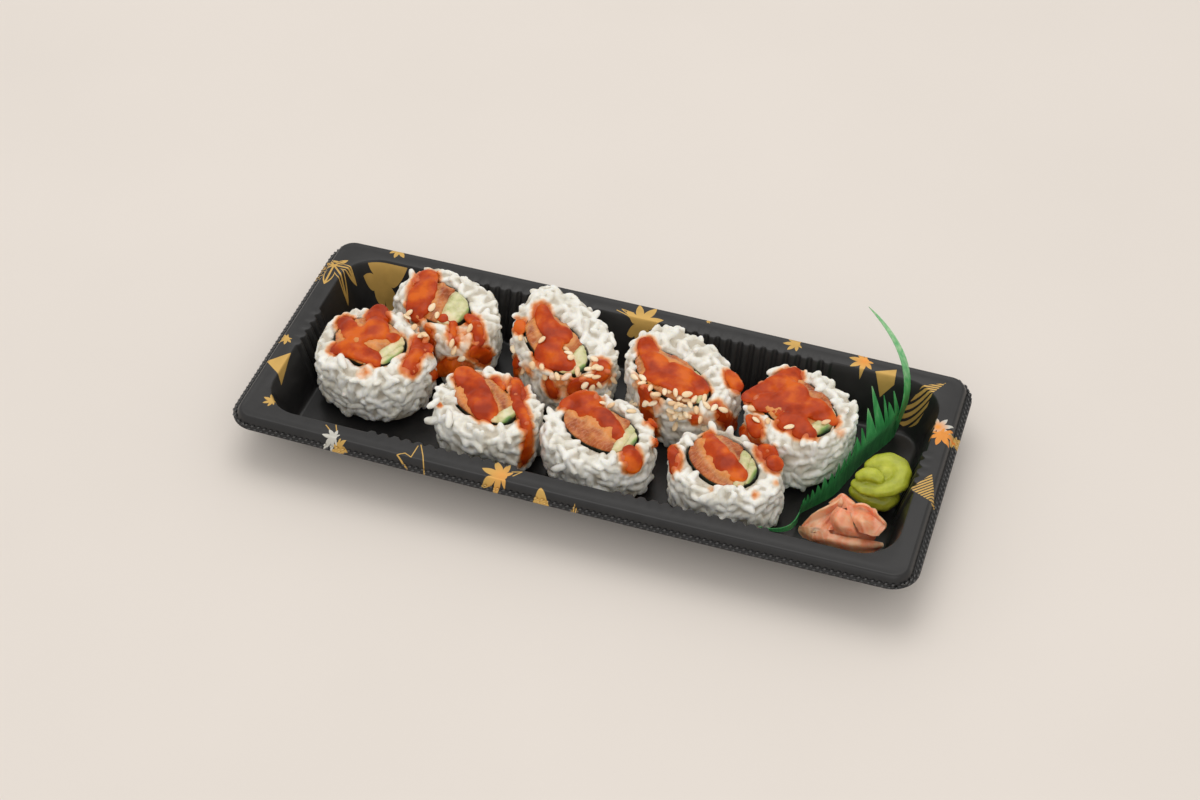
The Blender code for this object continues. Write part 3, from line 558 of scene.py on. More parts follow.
def trayRings():
    top = tray["height"]
    sheet = tray["sheet"]
    floor = tray["floorHalf"]
    well = tray["wellHalf"]
    rim = tray["rimHalf"]
    flange = tray["flangeHalf"]
    foot = grown(floor, tray["footSpread"])
    footCorner = tray["floorCorner"] + tray["footSpread"]
    depth = tray["fluteDepth"]
    atFoot = depth * tray["shareAtFoot"]
    aboveFoot = depth * tray["shareAboveFoot"]
    bow = tray["rimBow"]
    corner = tray["rimCorner"]
    skirt = tray["skirtOut"]
    drop = top - tray["skirtDrop"]
    edge = top - tray["flangeDrop"]
    # over the floor and up its round edge: further out, corner, height, depth of the flutes
    rings = [trayRing(grown(floor, by), radius, height, 0, flutes) for by, radius, height, flutes in (
        (-0.0040, 0.0040, sheet, 0.0),
        (-0.0012, 0.0062, sheet, 0.0002),
        (-0.0004, 0.0068, sheet + 0.00008, atFoot * 0.8),
        (0.0001, 0.0070, sheet + 0.00035, atFoot),
        (tray["footSpread"], footCorner, sheet + tray["footRise"], aboveFoot))]
    for share in (0.2, 0.4, 0.6, 0.8, 0.96):
        half = between(foot, well, share)
        height = sheet + tray["footRise"] + (top - sheet - tray["footRise"]) * share
        rings.append(trayRing(half, footCorner + (tray["wellCorner"] - footCorner) * share, height, 0,
                              aboveFoot + (depth - aboveFoot) * share))
    rings += [trayRing(grown(well, by), tray["wellCorner"], height, 0, depth) for by, height in (
        (0.00002, top - 0.00030), (0.00016, top - 0.00008), (0.00045, top))]
    # over the flat rim and down the skirt: further out, wider corner, height, bow
    rings += [trayRing(grown(rim, by), corner + wider, height, bowed) for by, wider, height, bowed in (
        (-0.0022, 0, top, bow * 0.6),
        (-0.0006, 0, top, bow),
        (-0.0003, 0, top + 0.00006, bow),
        (0, 0, top + 0.00002, bow),
        (0.0003, 0.0003, top - 0.00012, bow),
        (0.0006, 0.0006, top - 0.0004, bow),
        (0.0011, 0.0011, top - 0.0013, bow),
        (skirt - 0.0002, skirt, drop + 0.0003, tray["skirtBow"]),
        (skirt, skirt, drop - 0.00015, tray["skirtBow"]),
        (skirt + 0.00025, skirt, drop - 0.0001, tray["skirtBow"]))]
    # round the edge of the flange
    rings += [trayRing(grown(flange, by), tray["flangeCorner"] + wider, edge + rise, tray["flangeBow"])
              for by, wider, rise in (
                  (-0.0003, 0, 0.0006), (-0.00008, 0, 0.0004), (0, 0, 0), (-0.0007, -0.0003, -0.0003))]
    # back along the underside
    rings += [trayRing(grown(rim, skirt - sheet), corner + skirt - sheet, drop - sheet, tray["skirtBow"]),
              trayRing(rim, corner, top - sheet, bow),
              trayRing(grown(well, sheet), tray["wellCorner"] + sheet, top - sheet, 0, depth)]
    for share in (0.75, 0.5, 0.25):
        half = between(grown(floor, sheet), grown(well, sheet), share)
        under = tray["floorCorner"] + (tray["wellCorner"] - tray["floorCorner"]) * share + sheet
        rings.append(trayRing(half, under, (top - sheet) * share, 0,
                              atFoot + (depth - atFoot) * share))
    rings += [trayRing(grown(floor, sheet + 0.00012), 0.0076, 0.0005, 0, atFoot),
              trayRing(grown(floor, sheet - 0.0003), 0.0074, 0.0, 0, atFoot),
              trayRing(grown(floor, -0.0040), 0.0040, 0.0)]
    return rings


def makeTray():
    rings = trayRings()
    points = [p for ring in rings for p in ring]
    count = len(rings[0])
    faces = [tuple(range(count))]
    for k in range(len(rings) - 1):
        joinStrip(k * count, (k + 1) * count, count, faces)
    faces.append(tuple(range(len(points) - count, len(points))))
    obj = meshObject("formedTray", points, faces)
    obj.data.set_sharp_from_angle(angle=math.radians(50))
    # the print lies on the upper side only, not on the rings of the underside
    upper = len(points) - tray["ringsBelow"] * count
    storeValues(obj.data, "printed", np.arange(len(points)) < upper)
    return obj


trayPiece = makeTray()
trayTree = treeOf(trayPiece)
print("tray formed")

# the print: maple leaves, plain shapes and fine lines in gold, placed by the pixels that show them
gold = (0.62, 0.38, 0.10)
silver = (0.60, 0.58, 0.52)
ember = (0.80, 0.30, 0.05)
rimPrint = dict(
    leaves=(  # middle, tip of the long lobe, share of the line (0 is solid), tone, orange heart
        ((334, 265), (324, 284), 0.10, gold, 0.0), ((399, 250), (404, 258), 0.0, gold, 0.0),
        ((287, 338), (278, 342), 0.0, gold, 0.0), ((273, 401), (264, 397), 0.0, gold, 0.0),
        ((334, 437), (322, 434), 0.0, silver, 0.0), ((338, 448), (341, 456), 0.0, gold, 0.0),
        ((502, 476), (482, 468), 0.0, gold, 0.8), ((640, 327), (657, 315), 0.0, gold, 0.0),
        ((708, 321), (712, 322), 0.0, gold, 0.0), ((797, 344), (783, 343), 0.0, gold, 0.0),
        ((865, 361), (850, 366), 0.0, gold, 1.3), ((938, 427), (954, 427), 0.0, silver, 1.5),
        ((941, 434), (949, 446), 0.0, ember, 0.0), ((954, 441), (959, 450), 0.0, gold, 0.0)),
    patches=(  # narrow end, the two far corners, half width at the narrow end, reach, stripe pitch, slant
        ((267, 362), (287, 354), (278, 374), 0.1, 1.20, 0.0, 0),
        ((541, 488), (523, 500), (553, 508), 0.2, 1.10, 0.0, 0),
        ((559, 512), (576, 502), (577, 513), 0.1, 1.0, 0.75, 35),
        ((887, 391), (875, 369), (897, 372), 2.1, 1.0, 0.0, 0),
        ((922, 416), (903, 372), (940, 399), 1.2, 1.0, 0.95, 68),
        ((911, 489), (936, 474), (931, 506), 0.4, 1.0, 0.95, 27)),
    strokeWidth=0.17, strokes=(  # half width in mm, lines through pixels
        ((407, 469), (397, 455), (405, 453), (411, 457), (418, 446)), ((421, 445), (423, 456), (424, 475)),
        ((617, 310), (631, 318), (622, 309), (634, 313)), ((326, 425), (330, 430)), ((336, 425), (337, 434)),
        ((512, 472), (522, 472), (513, 476))))
wallLeaf = dict(middle=(381, 283), tip=(405, 268), top=0.0178)


def trayHit(px, py):
    return trayTree.ray_cast(eye, pixelRay(px, py))[0] or pixelAt(px, py, tray["height"])


def headingOf(start, end):
    span = (end - start).to_2d()
    return math.atan2(span.y, span.x), span.length


def leafMask(tree, coords, middlePixel, tipPixel, line):
    middle = trayHit(*middlePixel)
    turn, size = headingOf(pixelAt(*middlePixel, middle.z), pixelAt(*tipPixel, middle.z))
    return groupNode(tree, mapleLeaf, Vector=coords, X=middle.x, Y=middle.y, Size=size, Turn=turn,
                     Line=line).outputs


def patchMask(tree, coords, narrow, farA, farB, start, reach, stripe, slant):
    near = trayHit(*narrow)
    cornerA = trayHit(*farA)
    cornerB = trayHit(*farB)
    turn, length = headingOf(near, (cornerA + cornerB) / 2)
    half = (cornerA - cornerB).to_2d().length / 2
    return groupNode(tree, goldPatch, Vector=coords, X=near.x, Y=near.y, Turn=turn, Length=length * reach,
                     Start=start * mm, End=half * reach, Stripe=stripe * mm,
                     Slant=math.radians(slant)).outputs[0]


def printMasks(tree, coords):
    masks = {gold: [], silver: [], ember: []}
    hearts = []
    for middle, tip, line, tone, heart in rimPrint["leaves"]:
        made = leafMask(tree, coords, middle, tip, line)
        masks[tone].append(made["Mask"])
        if heart:
            hearts.append(mathNode(tree, "MULTIPLY", made["Heart"], heart, clamp=True))
    height = addNode(tree, "ShaderNodeSeparateXYZ", {0: coords}).outputs[2]
    onWall = mathNode(tree, "LESS_THAN", height, wallLeaf["top"])
    made = leafMask(tree, coords, wallLeaf["middle"], wallLeaf["tip"], 0.0)
    masks[gold].append(mathNode(tree, "MULTIPLY", made["Mask"], onWall))
    for patch in rimPrint["patches"]:
        masks[gold].append(patchMask(tree, coords, *patch))
    for stroke in rimPrint["strokes"]:
        for first, second in zip(stroke, stroke[1:]):
            start = trayHit(*first)
            turn, length = headingOf(start, trayHit(*second))
            made = groupNode(tree, goldStroke, Vector=coords, X=start.x, Y=start.y, Turn=turn, Length=length,
                             Width=rimPrint["strokeWidth"] * mm)
            masks[gold].append(made.outputs[0])
    return {tone: highest(tree, found) for tone, found in masks.items()}, highest(tree, hearts)


def highest(tree, values):
    total = values[0]
    for value in values[1:]:
        total = mathNode(tree, "MAXIMUM", total, value)
    return total


def makeTrayMaterial(name, gloss, coat, coatRoughness):
    material, tree, shader = newMaterial(name, Specular_IOR_Level=gloss, Coat_Weight=coat,
                                         Coat_Roughness=coatRoughness)
    coords = objectCoords(tree)
    uneven = groupNode(tree, fineUnevenness, Scale=220.0, Fine=6.0, Contrast=1.4).outputs
    colour = mixColour(tree, uneven["Mask"], (0.0125, 0.012, 0.012, 1), (0.021, 0.020, 0.020, 1))
    masks, hearts = printMasks(tree, coords)
    printed = addNode(tree, "ShaderNodeAttribute", attribute_name="printed").outputs["Fac"]
    masks = {tone: mathNode(tree, "MULTIPLY", mask, printed) for tone, mask in masks.items()}
    hearts = mathNode(tree, "MULTIPLY", hearts, printed)
    for tone, mask in masks.items():
        worn = mixColour(tree, uneven["Mask"], (*[c * 0.78 for c in tone], 1), (*tone, 1))
        colour = mixColour(tree, mask, colour, worn)
    colour = mixColour(tree, hearts, colour, (*ember, 1))
    foil = highest(tree, list(masks.values()))
    tree.links.new(colour, shader.inputs["Base Color"])
    tree.links.new(mathNode(tree, "MULTIPLY", foil, 0.35), shader.inputs["Metallic"])
    smoothness = mathNode(tree, "MULTIPLY_ADD", uneven["Mask"], 0.10, 0.27)
    tree.links.new(mathNode(tree, "MULTIPLY_ADD", foil, 0.10, smoothness), shader.inputs["Roughness"])
    bumpInto(tree, shader, uneven["Height"], 0.2, 0.0001)
    return material


trayMaterial = makeTrayMaterial("blackFormedPlastic", 0.32, 0.05, 0.2)
crimpMaterial = makeTrayMaterial("crimpedPlastic", 0.6, 0.7, 0.06)
finishPiece(trayPiece, trayMaterial, "black_plastic", "tray")

# the crimps: two rows of small slanted diamonds round the flange
crimps = dict(pitch=0.00205, length=0.00178, width=0.00100, proud=0.00044, rowOut=0.00046, lean=24)


def makeCrimpTree():
    tree, source, result = newTree(
        "crimpRows", "GeometryNodeTree",
        [("Geometry", "NodeSocketGeometry", None), ("Pitch", "NodeSocketFloat", 0.002),
         ("Crimp", "NodeSocketObject", None), ("Finish", "NodeSocketMaterial", None)],
        [("Geometry", "NodeSocketGeometry")])
    curve = addNode(tree, "GeometryNodeMeshToCurve", {"Mesh": source.outputs["Geometry"]})
    spaced = addNode(tree, "GeometryNodeResampleCurve",
                     {"Curve": curve.outputs[0], "Length": source.outputs["Pitch"]}, mode="LENGTH")
    shape = addNode(tree, "GeometryNodeObjectInfo", {"Object": source.outputs["Crimp"]})
    outward = addNode(tree, "GeometryNodeInputNamedAttribute", {"Name": "outward"}, data_type="FLOAT_VECTOR")
    tangent = addNode(tree, "GeometryNodeInputTangent")
    facing = addNode(tree, "FunctionNodeAlignRotationToVector", {"Vector": outward.outputs[0]}, axis="Z")
    turned = addNode(tree, "FunctionNodeAlignRotationToVector",
                     {"Rotation": facing.outputs[0], "Vector": tangent.outputs[0]}, axis="X", pivot_axis="Z")
    placed = addNode(tree, "GeometryNodeInstanceOnPoints",
                     {"Points": spaced.outputs[0], "Instance": shape.outputs["Geometry"],
                      "Rotation": turned.outputs[0]})
    real = addNode(tree, "GeometryNodeRealizeInstances", {0: placed.outputs[0]})
    finish = addNode(tree, "GeometryNodeSetMaterial",
                     {"Geometry": real.outputs[0], "Material": source.outputs["Finish"]})
    tree.links.new(finish.outputs[0], result.inputs[0])
    return tree


def crimpPair():
    # one diamond of the upper row and, half a pitch on, one of the lower row
    points = []
    faces = []
    lean = Matrix.Rotation(math.radians(crimps["lean"]), 3, "Z")
    for along, aside in ((0.0, crimps["rowOut"]), (crimps["pitch"] / 2, -crimps["rowOut"])):
        start = len(points)
        middle = Vector((along, aside, 0))
        for share, rise in ((1.0, -0.00012), (0.55, crimps["proud"] * 0.8)):
            for k in range(8):
                angle = math.radians(45 * k)
                reach = 1.0 if k % 2 == 0 else 0.66
                flat = Vector((crimps["length"] / 2 * math.cos(angle),
                               crimps["width"] / 2 * math.sin(angle), 0))
                points.append(middle + lean @ (flat * share * reach) + Vector((0, 0, rise)))
        points.append(middle + Vector((0, 0, crimps["proud"])))
        faces.append(tuple(start + 7 - k for k in range(8)))
        joinStrip(start, start + 8, 8, faces)
        faces += [(start + 8 + k, start + 8 + (k + 1) % 8, start + 16) for k in range(8)]
    return shapeToCopy("crimpPair", points, faces)


def makeCrimps():
    top = tray["height"]
    inner = trayRing(grown(tray["rimHalf"], tray["skirtOut"] + 0.00025),
                     tray["rimCorner"] + tray["skirtOut"],
                     top - tray["skirtDrop"] - 0.0001, tray["skirtBow"])
    outer = trayRing(grown(tray["flangeHalf"], -0.0003), tray["flangeCorner"],
                     top - tray["flangeDrop"] + 0.0006, tray["flangeBow"])
    path = [a.lerp(b, 0.52) for a, b in zip(inner, outer)]
    count = len(path)
    mesh = bpy.data.meshes.new("crimps")
    mesh.from_pydata([tuple(p) for p in path], [(k, (k + 1) % count) for k in range(count)], [])
    facing = mesh.attributes.new("outward", "FLOAT_VECTOR", "POINT")
    for k in range(count):
        along = (path[(k + 1) % count] - path[k - 1]).normalized()
        facing.data[k].vector = along.cross(inner[k] - outer[k]).normalized() * -1
        if facing.data[k].vector[2] < 0:
            facing.data[k].vector = -Vector(facing.data[k].vector)
    obj = linkedObject("crimps", mesh)
    runNodes(obj, makeCrimpTree(), Pitch=crimps["pitch"], Crimp=crimpPair(), Finish=crimpMaterial)
    storeValues(obj.data, "printed", np.ones(len(obj.data.vertices)))
    return obj


finishPiece(makeCrimps(), crimpMaterial, "black_plastic")
print("crimps placed")

# soft shapes: blobs that melt into one skin


def ballTemplate(detail):
    work = bmesh.new()
    bmesh.ops.create_icosphere(work, subdivisions=detail, radius=1.0)
    points = np.array([v.co for v in work.verts])
    faces = np.array([[v.index for v in f.verts] for f in work.faces])
    work.free()
    return points, faces


ballPoints, ballFaces = ballTemplate(2)


def blobMesh(name, blobs):
    # blobs: place, up, radius across, radius along up
    points = []
    faces = []
    for count, (place, upward, across, tall) in enumerate(blobs):
        turn = np.array(Vector(upward).to_track_quat("Z", "Y").to_matrix())
        points.append((ballPoints * (across, across, tall)) @ turn.T + np.array(place))
        faces.append(ballFaces + count * len(ballPoints))
    mesh = bpy.data.meshes.new(name)
    mesh.from_pydata(np.concatenate(points).tolist(), [], np.concatenate(faces).tolist())
    return linkedObject(name, mesh)


def melt(obj, voxel, smoothing, strength=0.6):
    # overlapping blobs become one smooth skin
    addModifier(obj, "REMESH", mode="VOXEL", voxel_size=voxel, use_smooth_shade=True)
    addModifier(obj, "SMOOTH", factor=strength, iterations=smoothing)
    return freeze(obj)


# rice: grains packed over a core that follows the CAD solid
rollNumbers = range(1, 9)
cucumberNodes = {n: [f"cucumber_{n}"] for n in rollNumbers}
for number in (1, 5, 7):
    cucumberNodes[number].append(f"cucumber_{number}_outer")
rice = dict(voxel=0.0009, inset=0.00125, spacing=0.00238, density=900000.0,
            grainLength=0.0062, grainWidth=0.0027, rings=6, sides=7, fuse=0.00036, fuseSmoothing=1,
            lump=0.0055, lumpDepth=0.0009, lift=0.00040, proud=0.0013, openFrom=0.0022, lowest=0.0011)


def makeGrainShape(name, bend, taper):
    # a short bent grain with rounded ends
    points = [Vector((rice["grainLength"] / 2, 0, 0))]
    rings = rice["rings"]
    sides = rice["sides"]
    for r in range(rings):
        polar = math.pi * (r + 0.75) / (rings + 0.5)
        along = math.cos(polar)
        girth = math.sin(polar) ** 0.62 * (1 + taper * along)
        for k in range(sides):
            angle = 2 * math.pi * (k + 0.5 * (r % 2)) / sides
            points.append(Vector((along * rice["grainLength"] / 2,
                                  girth * rice["grainWidth"] / 2 * math.cos(angle),
                                  girth * rice["grainWidth"] / 2 * 0.86 * math.sin(angle))))
    points.append(Vector((-rice["grainLength"] / 2, 0, 0)))
    for point in points:
        point.y += bend * (1 - (2 * point.x / rice["grainLength"]) ** 2)
    return shapeToCopy(name, points, spindleFaces(rings, sides))


def randomVector(tree, low, high, seed):
    inputs = {0: low, 1: high, "Seed": seed}
    return addNode(tree, "FunctionNodeRandomValue", inputs, data_type="FLOAT_VECTOR").outputs[0]


def placeCopies(tree, points, shape, facing, tilt, size, toneSeed):
    # copies turned by a tilt, each with a size and a tone of its own
    tiltTurn = addNode(tree, "FunctionNodeEulerToRotation", {0: tilt})
    turned = addNode(tree, "FunctionNodeRotateRotation",
                     {"Rotation": facing, "Rotate By": tiltTurn.outputs[0]}, rotation_space="LOCAL")
    placed = addNode(tree, "GeometryNodeInstanceOnPoints",
                     {"Points": points, "Instance": shape, "Rotation": turned.outputs[0], "Scale": size})
    shade = addNode(tree, "FunctionNodeRandomValue", {"Seed": toneSeed}, data_type="FLOAT")
    toned = addNode(tree, "GeometryNodeStoreNamedAttribute",
                    {"Geometry": placed.outputs[0], "Name": "tone", "Value": shade.outputs[1]},
                    data_type="FLOAT", domain="INSTANCE")
    real = addNode(tree, "GeometryNodeRealizeInstances", {0: toned.outputs[0]})
    return placed, real.outputs[0]


def makeGrainTree():
    tree, source, result = newTree(
        "packedGrains", "GeometryNodeTree",
        [("Geometry", "NodeSocketGeometry", None), ("Spacing", "NodeSocketFloat", 0.002),
         ("Density", "NodeSocketFloat", 100000.0), ("Seed", "NodeSocketInt", 0),
         ("GrainA", "NodeSocketObject", None), ("GrainB", "NodeSocketObject", None),
         ("GrainC", "NodeSocketObject", None), ("Finish", "NodeSocketMaterial", None)],
        [("Geometry", "NodeSocketGeometry")])
    take = source.outputs
    openFaces = addNode(tree, "GeometryNodeInputNamedAttribute", {"Name": "open"}, data_type="FLOAT")
    chosen = addNode(tree, "FunctionNodeCompare", {0: openFaces.outputs[0], 1: 0.5}, data_type="FLOAT",
                     operation="GREATER_THAN")
    spread = addNode(tree, "GeometryNodeDistributePointsOnFaces",
                     {"Mesh": take["Geometry"], "Selection": chosen.outputs[0],
                      "Distance Min": take["Spacing"],
                      "Density Max": take["Density"], "Seed": take["Seed"]}, distribute_method="POISSON")
    tilt = randomVector(tree, (-0.2, -0.26, 0.0), (0.2, 0.26, 6.283), 11)
    size = randomVector(tree, (0.74, 0.86, 0.86), (1.06, 1.10, 1.10), 12)
    shapes = addNode(tree, "GeometryNodeJoinGeometry")
    for label in ("GrainA", "GrainB", "GrainC"):
        info = addNode(tree, "GeometryNodeObjectInfo", {"Object": take[label], "As Instance": True})
        tree.links.new(info.outputs["Geometry"], shapes.inputs[0])
    lift = addNode(tree, "FunctionNodeRandomValue", {2: -rice["lift"], 3: rice["lift"], "Seed": 14},
                   data_type="FLOAT")
    along = addNode(tree, "ShaderNodeVectorMath", {0: spread.outputs["Normal"]}, operation="SCALE")
    tree.links.new(lift.outputs[1], along.inputs["Scale"])
    raised = addNode(tree, "GeometryNodeSetPosition",
                     {"Geometry": spread.outputs["Points"], "Offset": along.outputs[0]})
    placed, real = placeCopies(tree, raised.outputs[0], shapes.outputs[0], spread.outputs["Rotation"], tilt,
                               size, 13)
    placed.inputs["Pick Instance"].default_value = True
    both = addNode(tree, "GeometryNodeJoinGeometry")
    tree.links.new(real, both.inputs[0])
    tree.links.new(take["Geometry"], both.inputs[0])
    finish = addNode(tree, "GeometryNodeSetMaterial",
                     {"Geometry": both.outputs[0], "Material": take["Finish"]})
    tree.links.new(finish.outputs[0], result.inputs[0])
    return tree


def makeRiceMaterial():
    material, tree, shader = newMaterial(
        "stickyRice", Subsurface_Weight=0.35, Subsurface_Radius=(0.9, 0.8, 0.6), Subsurface_Scale=0.0018,
        Coat_Weight=0.15, Coat_Roughness=0.25)
    uneven = groupNode(tree, fineUnevenness, Scale=210.0, Fine=5.0, Contrast=2.2).outputs
    clean = rampNode(tree, uneven["Mask"], (0.1, (0.70, 0.665, 0.57)), (0.5, (0.82, 0.80, 0.73)),
                     (0.95, (0.88, 0.87, 0.82)))
    # painted shade: the rice is darkened towards a brown grey where it lies low between the grains, in place
    # of the shade in the crevices
    proud = addNode(tree, "ShaderNodeAttribute", attribute_name="proud").outputs["Fac"]
    creviceShade = rampNode(tree, proud, (0.0, (1.0, 1.0, 1.0)), (0.48, (0.0, 0.0, 0.0)))
    clean = mixColour(tree, creviceShade, clean, (0.54, 0.48, 0.38, 1))
    stain = groupNode(tree, sauceStain, Clean=clean, Strength=1.0).outputs
    finishShader(tree, shader, stain["Colour"], uneven, (0.2, 0.30), (0.3, 0.0002))
    return material


def riceSkin(number):
    # the CAD ring, evened out and drawn in, so that the grains stand on it
    obj = cadCopy(f"rice_{number}", f"rolledRice_{number}")
    addModifier(obj, "REMESH", mode="VOXEL", voxel_size=rice["voxel"], use_smooth_shade=True)
    addModifier(obj, "SMOOTH", factor=0.5, iterations=3)
    freeze(obj)
    mesh = obj.data
    places = vertexArray(mesh)
    directions = normalArray(mesh)
    low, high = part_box(f"nori_{number}")
    toHole = np.array([(low.x + high.x) / 2, (low.y + high.y) / 2]) - places[:, :2]
    far = np.linalg.norm(toHole, axis=1)
    inward = (directions[:, :2] * toHole).sum(axis=1) / np.maximum(far, 1e-6)
    upward = directions[:, 2]
    isOpen = (places[:, 2] > rice["openFrom"]) & (upward > -0.35) & ((inward < 0.35) | (upward > 0.55))
    lumps = np.array([noise.noise(Vector(p) / rice["lump"]) for p in places]) * rice["lumpDepth"]
    away = 1 - np.clip((inward - 0.1) / 0.4, 0, 1)
    places = places - directions * (rice["inset"] * away - lumps * isOpen)[:, None]
    places[:, 2] = np.maximum(places[:, 2], rice["lowest"])
    mesh.vertices.foreach_set("co", places.reshape(-1))
    storeValues(mesh, "open", isOpen.astype(np.float32))
    return obj


riceMaterial = makeRiceMaterial()
grainShapes = [makeGrainShape("grainA", 0.0003, 0.05), makeGrainShape("grainB", 0.0006, 0.10),
               makeGrainShape("grainC", -0.0002, 0.0)]
grainTree = makeGrainTree()
ricePieces = []
for number in rollNumbers:
    skin = riceSkin(number)
    core = treeOf(skin)
    runNodes(skin, grainTree, Spacing=rice["spacing"], Density=rice["density"], Seed=number,
             GrainA=grainShapes[0], GrainB=grainShapes[1], GrainC=grainShapes[2], Finish=riceMaterial)
    melt(skin, rice["fuse"], rice["fuseSmoothing"], 0.5)
    # how far each place stands above the core; the rice colour paints shade where this is low
    rise = [core.find_nearest(v.co)[3] / rice["proud"] for v in skin.data.vertices]
    storeValues(skin.data, "proud", np.clip(np.array(rise), 0, 1))
    ricePieces.append(finishPiece(skin, riceMaterial, "rice", f"rice_{number}"))
print("rice packed:", sum(len(p.data.polygons) for p in ricePieces), "faces")

# the fillings: salmon, cucumber and the seaweed sleeve
filling = dict(voxel=0.00050, lump=0.0032, depth=0.0011, stickLump=0.0028, stickDepth=0.0005,
               smoothBelow=0.010, rindDepth=0.0016, sleeveVoxel=0.00026, sleeveWave=260, waveDepth=0.006,
               sleeveThin=0.00020, sleeveDrop=0.0007, sleeveShare=0.28, lip=0.0006, lipDepth=0.007)


def makeSalmonMaterial():
    material, tree, shader = newMaterial(
        "spicySalmon", Specular_IOR_Level=0.3, Coat_Weight=0.10, Coat_Roughness=0.2, Subsurface_Weight=0.3,
        Subsurface_Radius=(1.0, 0.35, 0.15), Subsurface_Scale=0.002)
    uneven = groupNode(tree, fineUnevenness, Scale=240.0, Fine=5.0, Contrast=2.4).outputs
    fibres = bandsNode(tree, (0, 0, 0.7), 260.0, 6.0, 2.0, 2.0)
    flesh = rampNode(tree, uneven["Mask"], (0.1, (0.30, 0.062, 0.014)), (0.5, (0.45, 0.118, 0.026)),
                     (0.9, (0.60, 0.215, 0.062)))
    pale = mathNode(tree, "MULTIPLY", mathNode(tree, "GREATER_THAN", fibres, 0.86), 0.22)
    flesh = mixColour(tree, pale, flesh, (0.72, 0.36, 0.18, 1))
    stain = groupNode(tree, sauceStain, Clean=flesh, Strength=0.55).outputs
    finishShader(tree, shader, stain["Colour"], uneven, (0.2, 0.2), (0.5, 0.0006))
    return material


def makeCucumberMaterial():
    material, tree, shader = newMaterial(
        "freshCucumber", Coat_Weight=0.3, Coat_Roughness=0.15, Subsurface_Weight=0.3,
        Subsurface_Radius=(0.7, 0.9, 0.4), Subsurface_Scale=0.002)
    uneven = groupNode(tree, fineUnevenness, Scale=330.0, Fine=4.0, Contrast=1.8).outputs
    skin = addNode(tree, "ShaderNodeAttribute", attribute_name="skin").outputs["Fac"]
    flesh = rampNode(tree, uneven["Mask"], (0.2, (0.48, 0.48, 0.20)), (0.55, (0.64, 0.61, 0.33)),
                     (0.9, (0.76, 0.72, 0.48)))
    rind = rampNode(tree, skin, (0.0, (0.50, 0.54, 0.24)), (0.45, (0.20, 0.34, 0.07)),
                    (0.9, (0.022, 0.075, 0.016)))
    share = mathNode(tree, "MULTIPLY", skin, 2.2, clamp=True)
    colour = mixColour(tree, share, flesh, rind)
    stain = groupNode(tree, sauceStain, Clean=colour, Strength=0.22).outputs
    finishShader(tree, shader, stain["Colour"], uneven, (0.2, 0.22), (0.3, 0.0003))
    return material


def makeSeaweedMaterial():
    material, tree, shader = newMaterial("seaweedSheet", Coat_Weight=0.1)
    uneven = groupNode(tree, fineUnevenness, Scale=500.0, Fine=4.0, Contrast=2.0).outputs
    colour = mixColour(tree, uneven["Mask"], (0.006, 0.009, 0.005, 1), (0.022, 0.030, 0.014, 1))
    finishShader(tree, shader, colour, uneven, (0.3, 0.35), (0.5, 0.0003))
    return material


def lumpyCopy(node, name, depth, lump):
    obj = cadCopy(node, name)
    addModifier(obj, "REMESH", mode="VOXEL", voxel_size=filling["voxel"], use_smooth_shade=True)
    addModifier(obj, "SMOOTH", factor=0.5, iterations=3)
    freeze(obj)
    mesh = obj.data
    places = vertexArray(mesh)
    directions = normalArray(mesh)
    top = places[:, 2].max()
    for i, place in enumerate(places):
        if place[2] > filling["smoothBelow"]:
            at = Vector(place)
            lip = filling["lip"] * max(0.0, 1 - (top - place[2]) / filling["lipDepth"])
            place = place + directions[i] * (lip, lip, 0)
            rise = noise.noise(at / lump) + noise.noise(at / (lump * 0.35)) * 0.4 + 0.25
            places[i] = place + directions[i] * rise * depth * max(0.0, directions[i][2])
    mesh.vertices.foreach_set("co", places.reshape(-1))
    return obj, places


def makeSleeve(number):
    # the sheet of seaweed round the filling, thinned, sunk a little and then given fewer faces
    obj = cadCopy(f"nori_{number}", f"seaweed_{number}")
    addModifier(obj, "REMESH", mode="VOXEL", voxel_size=filling["sleeveVoxel"], use_smooth_shade=True)
    freeze(obj)
    places = vertexArray(obj.data)
    places -= normalArray(obj.data) * filling["sleeveThin"]
    top = places[:, 2].max()
    for i, place in enumerate(places):
        near = max(0.0, 1 - (top - place[2]) / filling["waveDepth"])
        wave = 0.55 + 0.9 * noise.noise(Vector((place[0], place[1], 0)) * filling["sleeveWave"])
        places[i][2] -= filling["sleeveDrop"] * near * max(0.0, wave)
    obj.data.vertices.foreach_set("co", places.reshape(-1))
    addModifier(obj, "DECIMATE", ratio=filling["sleeveShare"])
    freeze(obj)
    return finishPiece(obj, seaweedMaterial, "seaweed", f"nori_{number}")


def makeFillings():
    pieces = []
    for number in rollNumbers:
        piece, _ = lumpyCopy(f"salmon_{number}", f"salmonFilling_{number}",
                             filling["depth"], filling["lump"])
        pieces.append(finishPiece(piece, salmonMaterial, "salmon", f"salmon_{number}"))
        makeSleeve(number)
        low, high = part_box(f"nori_{number}")
        middle = (low + high) / 2
        for name in cucumberNodes[number]:
            piece, places = lumpyCopy(name, f"stick_{name}", filling["stickDepth"], filling["stickLump"])
            outward = (Vector(places.mean(axis=0)) - middle).to_2d().normalized()
            reach = places[:, 0] * outward.x + places[:, 1] * outward.y
            hasRind = name == cucumberNodes[number][-1]
            rind = np.clip(1 - (reach.max() - reach) / filling["rindDepth"], 0, 1)
            storeValues(piece.data, "skin", rind * hasRind)
            pieces.append(finishPiece(piece, cucumberMaterial, "cucumber", name))
    return pieces


salmonMaterial = makeSalmonMaterial()
cucumberMaterial = makeCucumberMaterial()
seaweedMaterial = makeSeaweedMaterial()
fillingPieces = makeFillings()
print("fillings laid")

# the food's surface so far, which everything loose is dropped on
foodSurface = treeOf(*ricePieces, *fillingPieces)

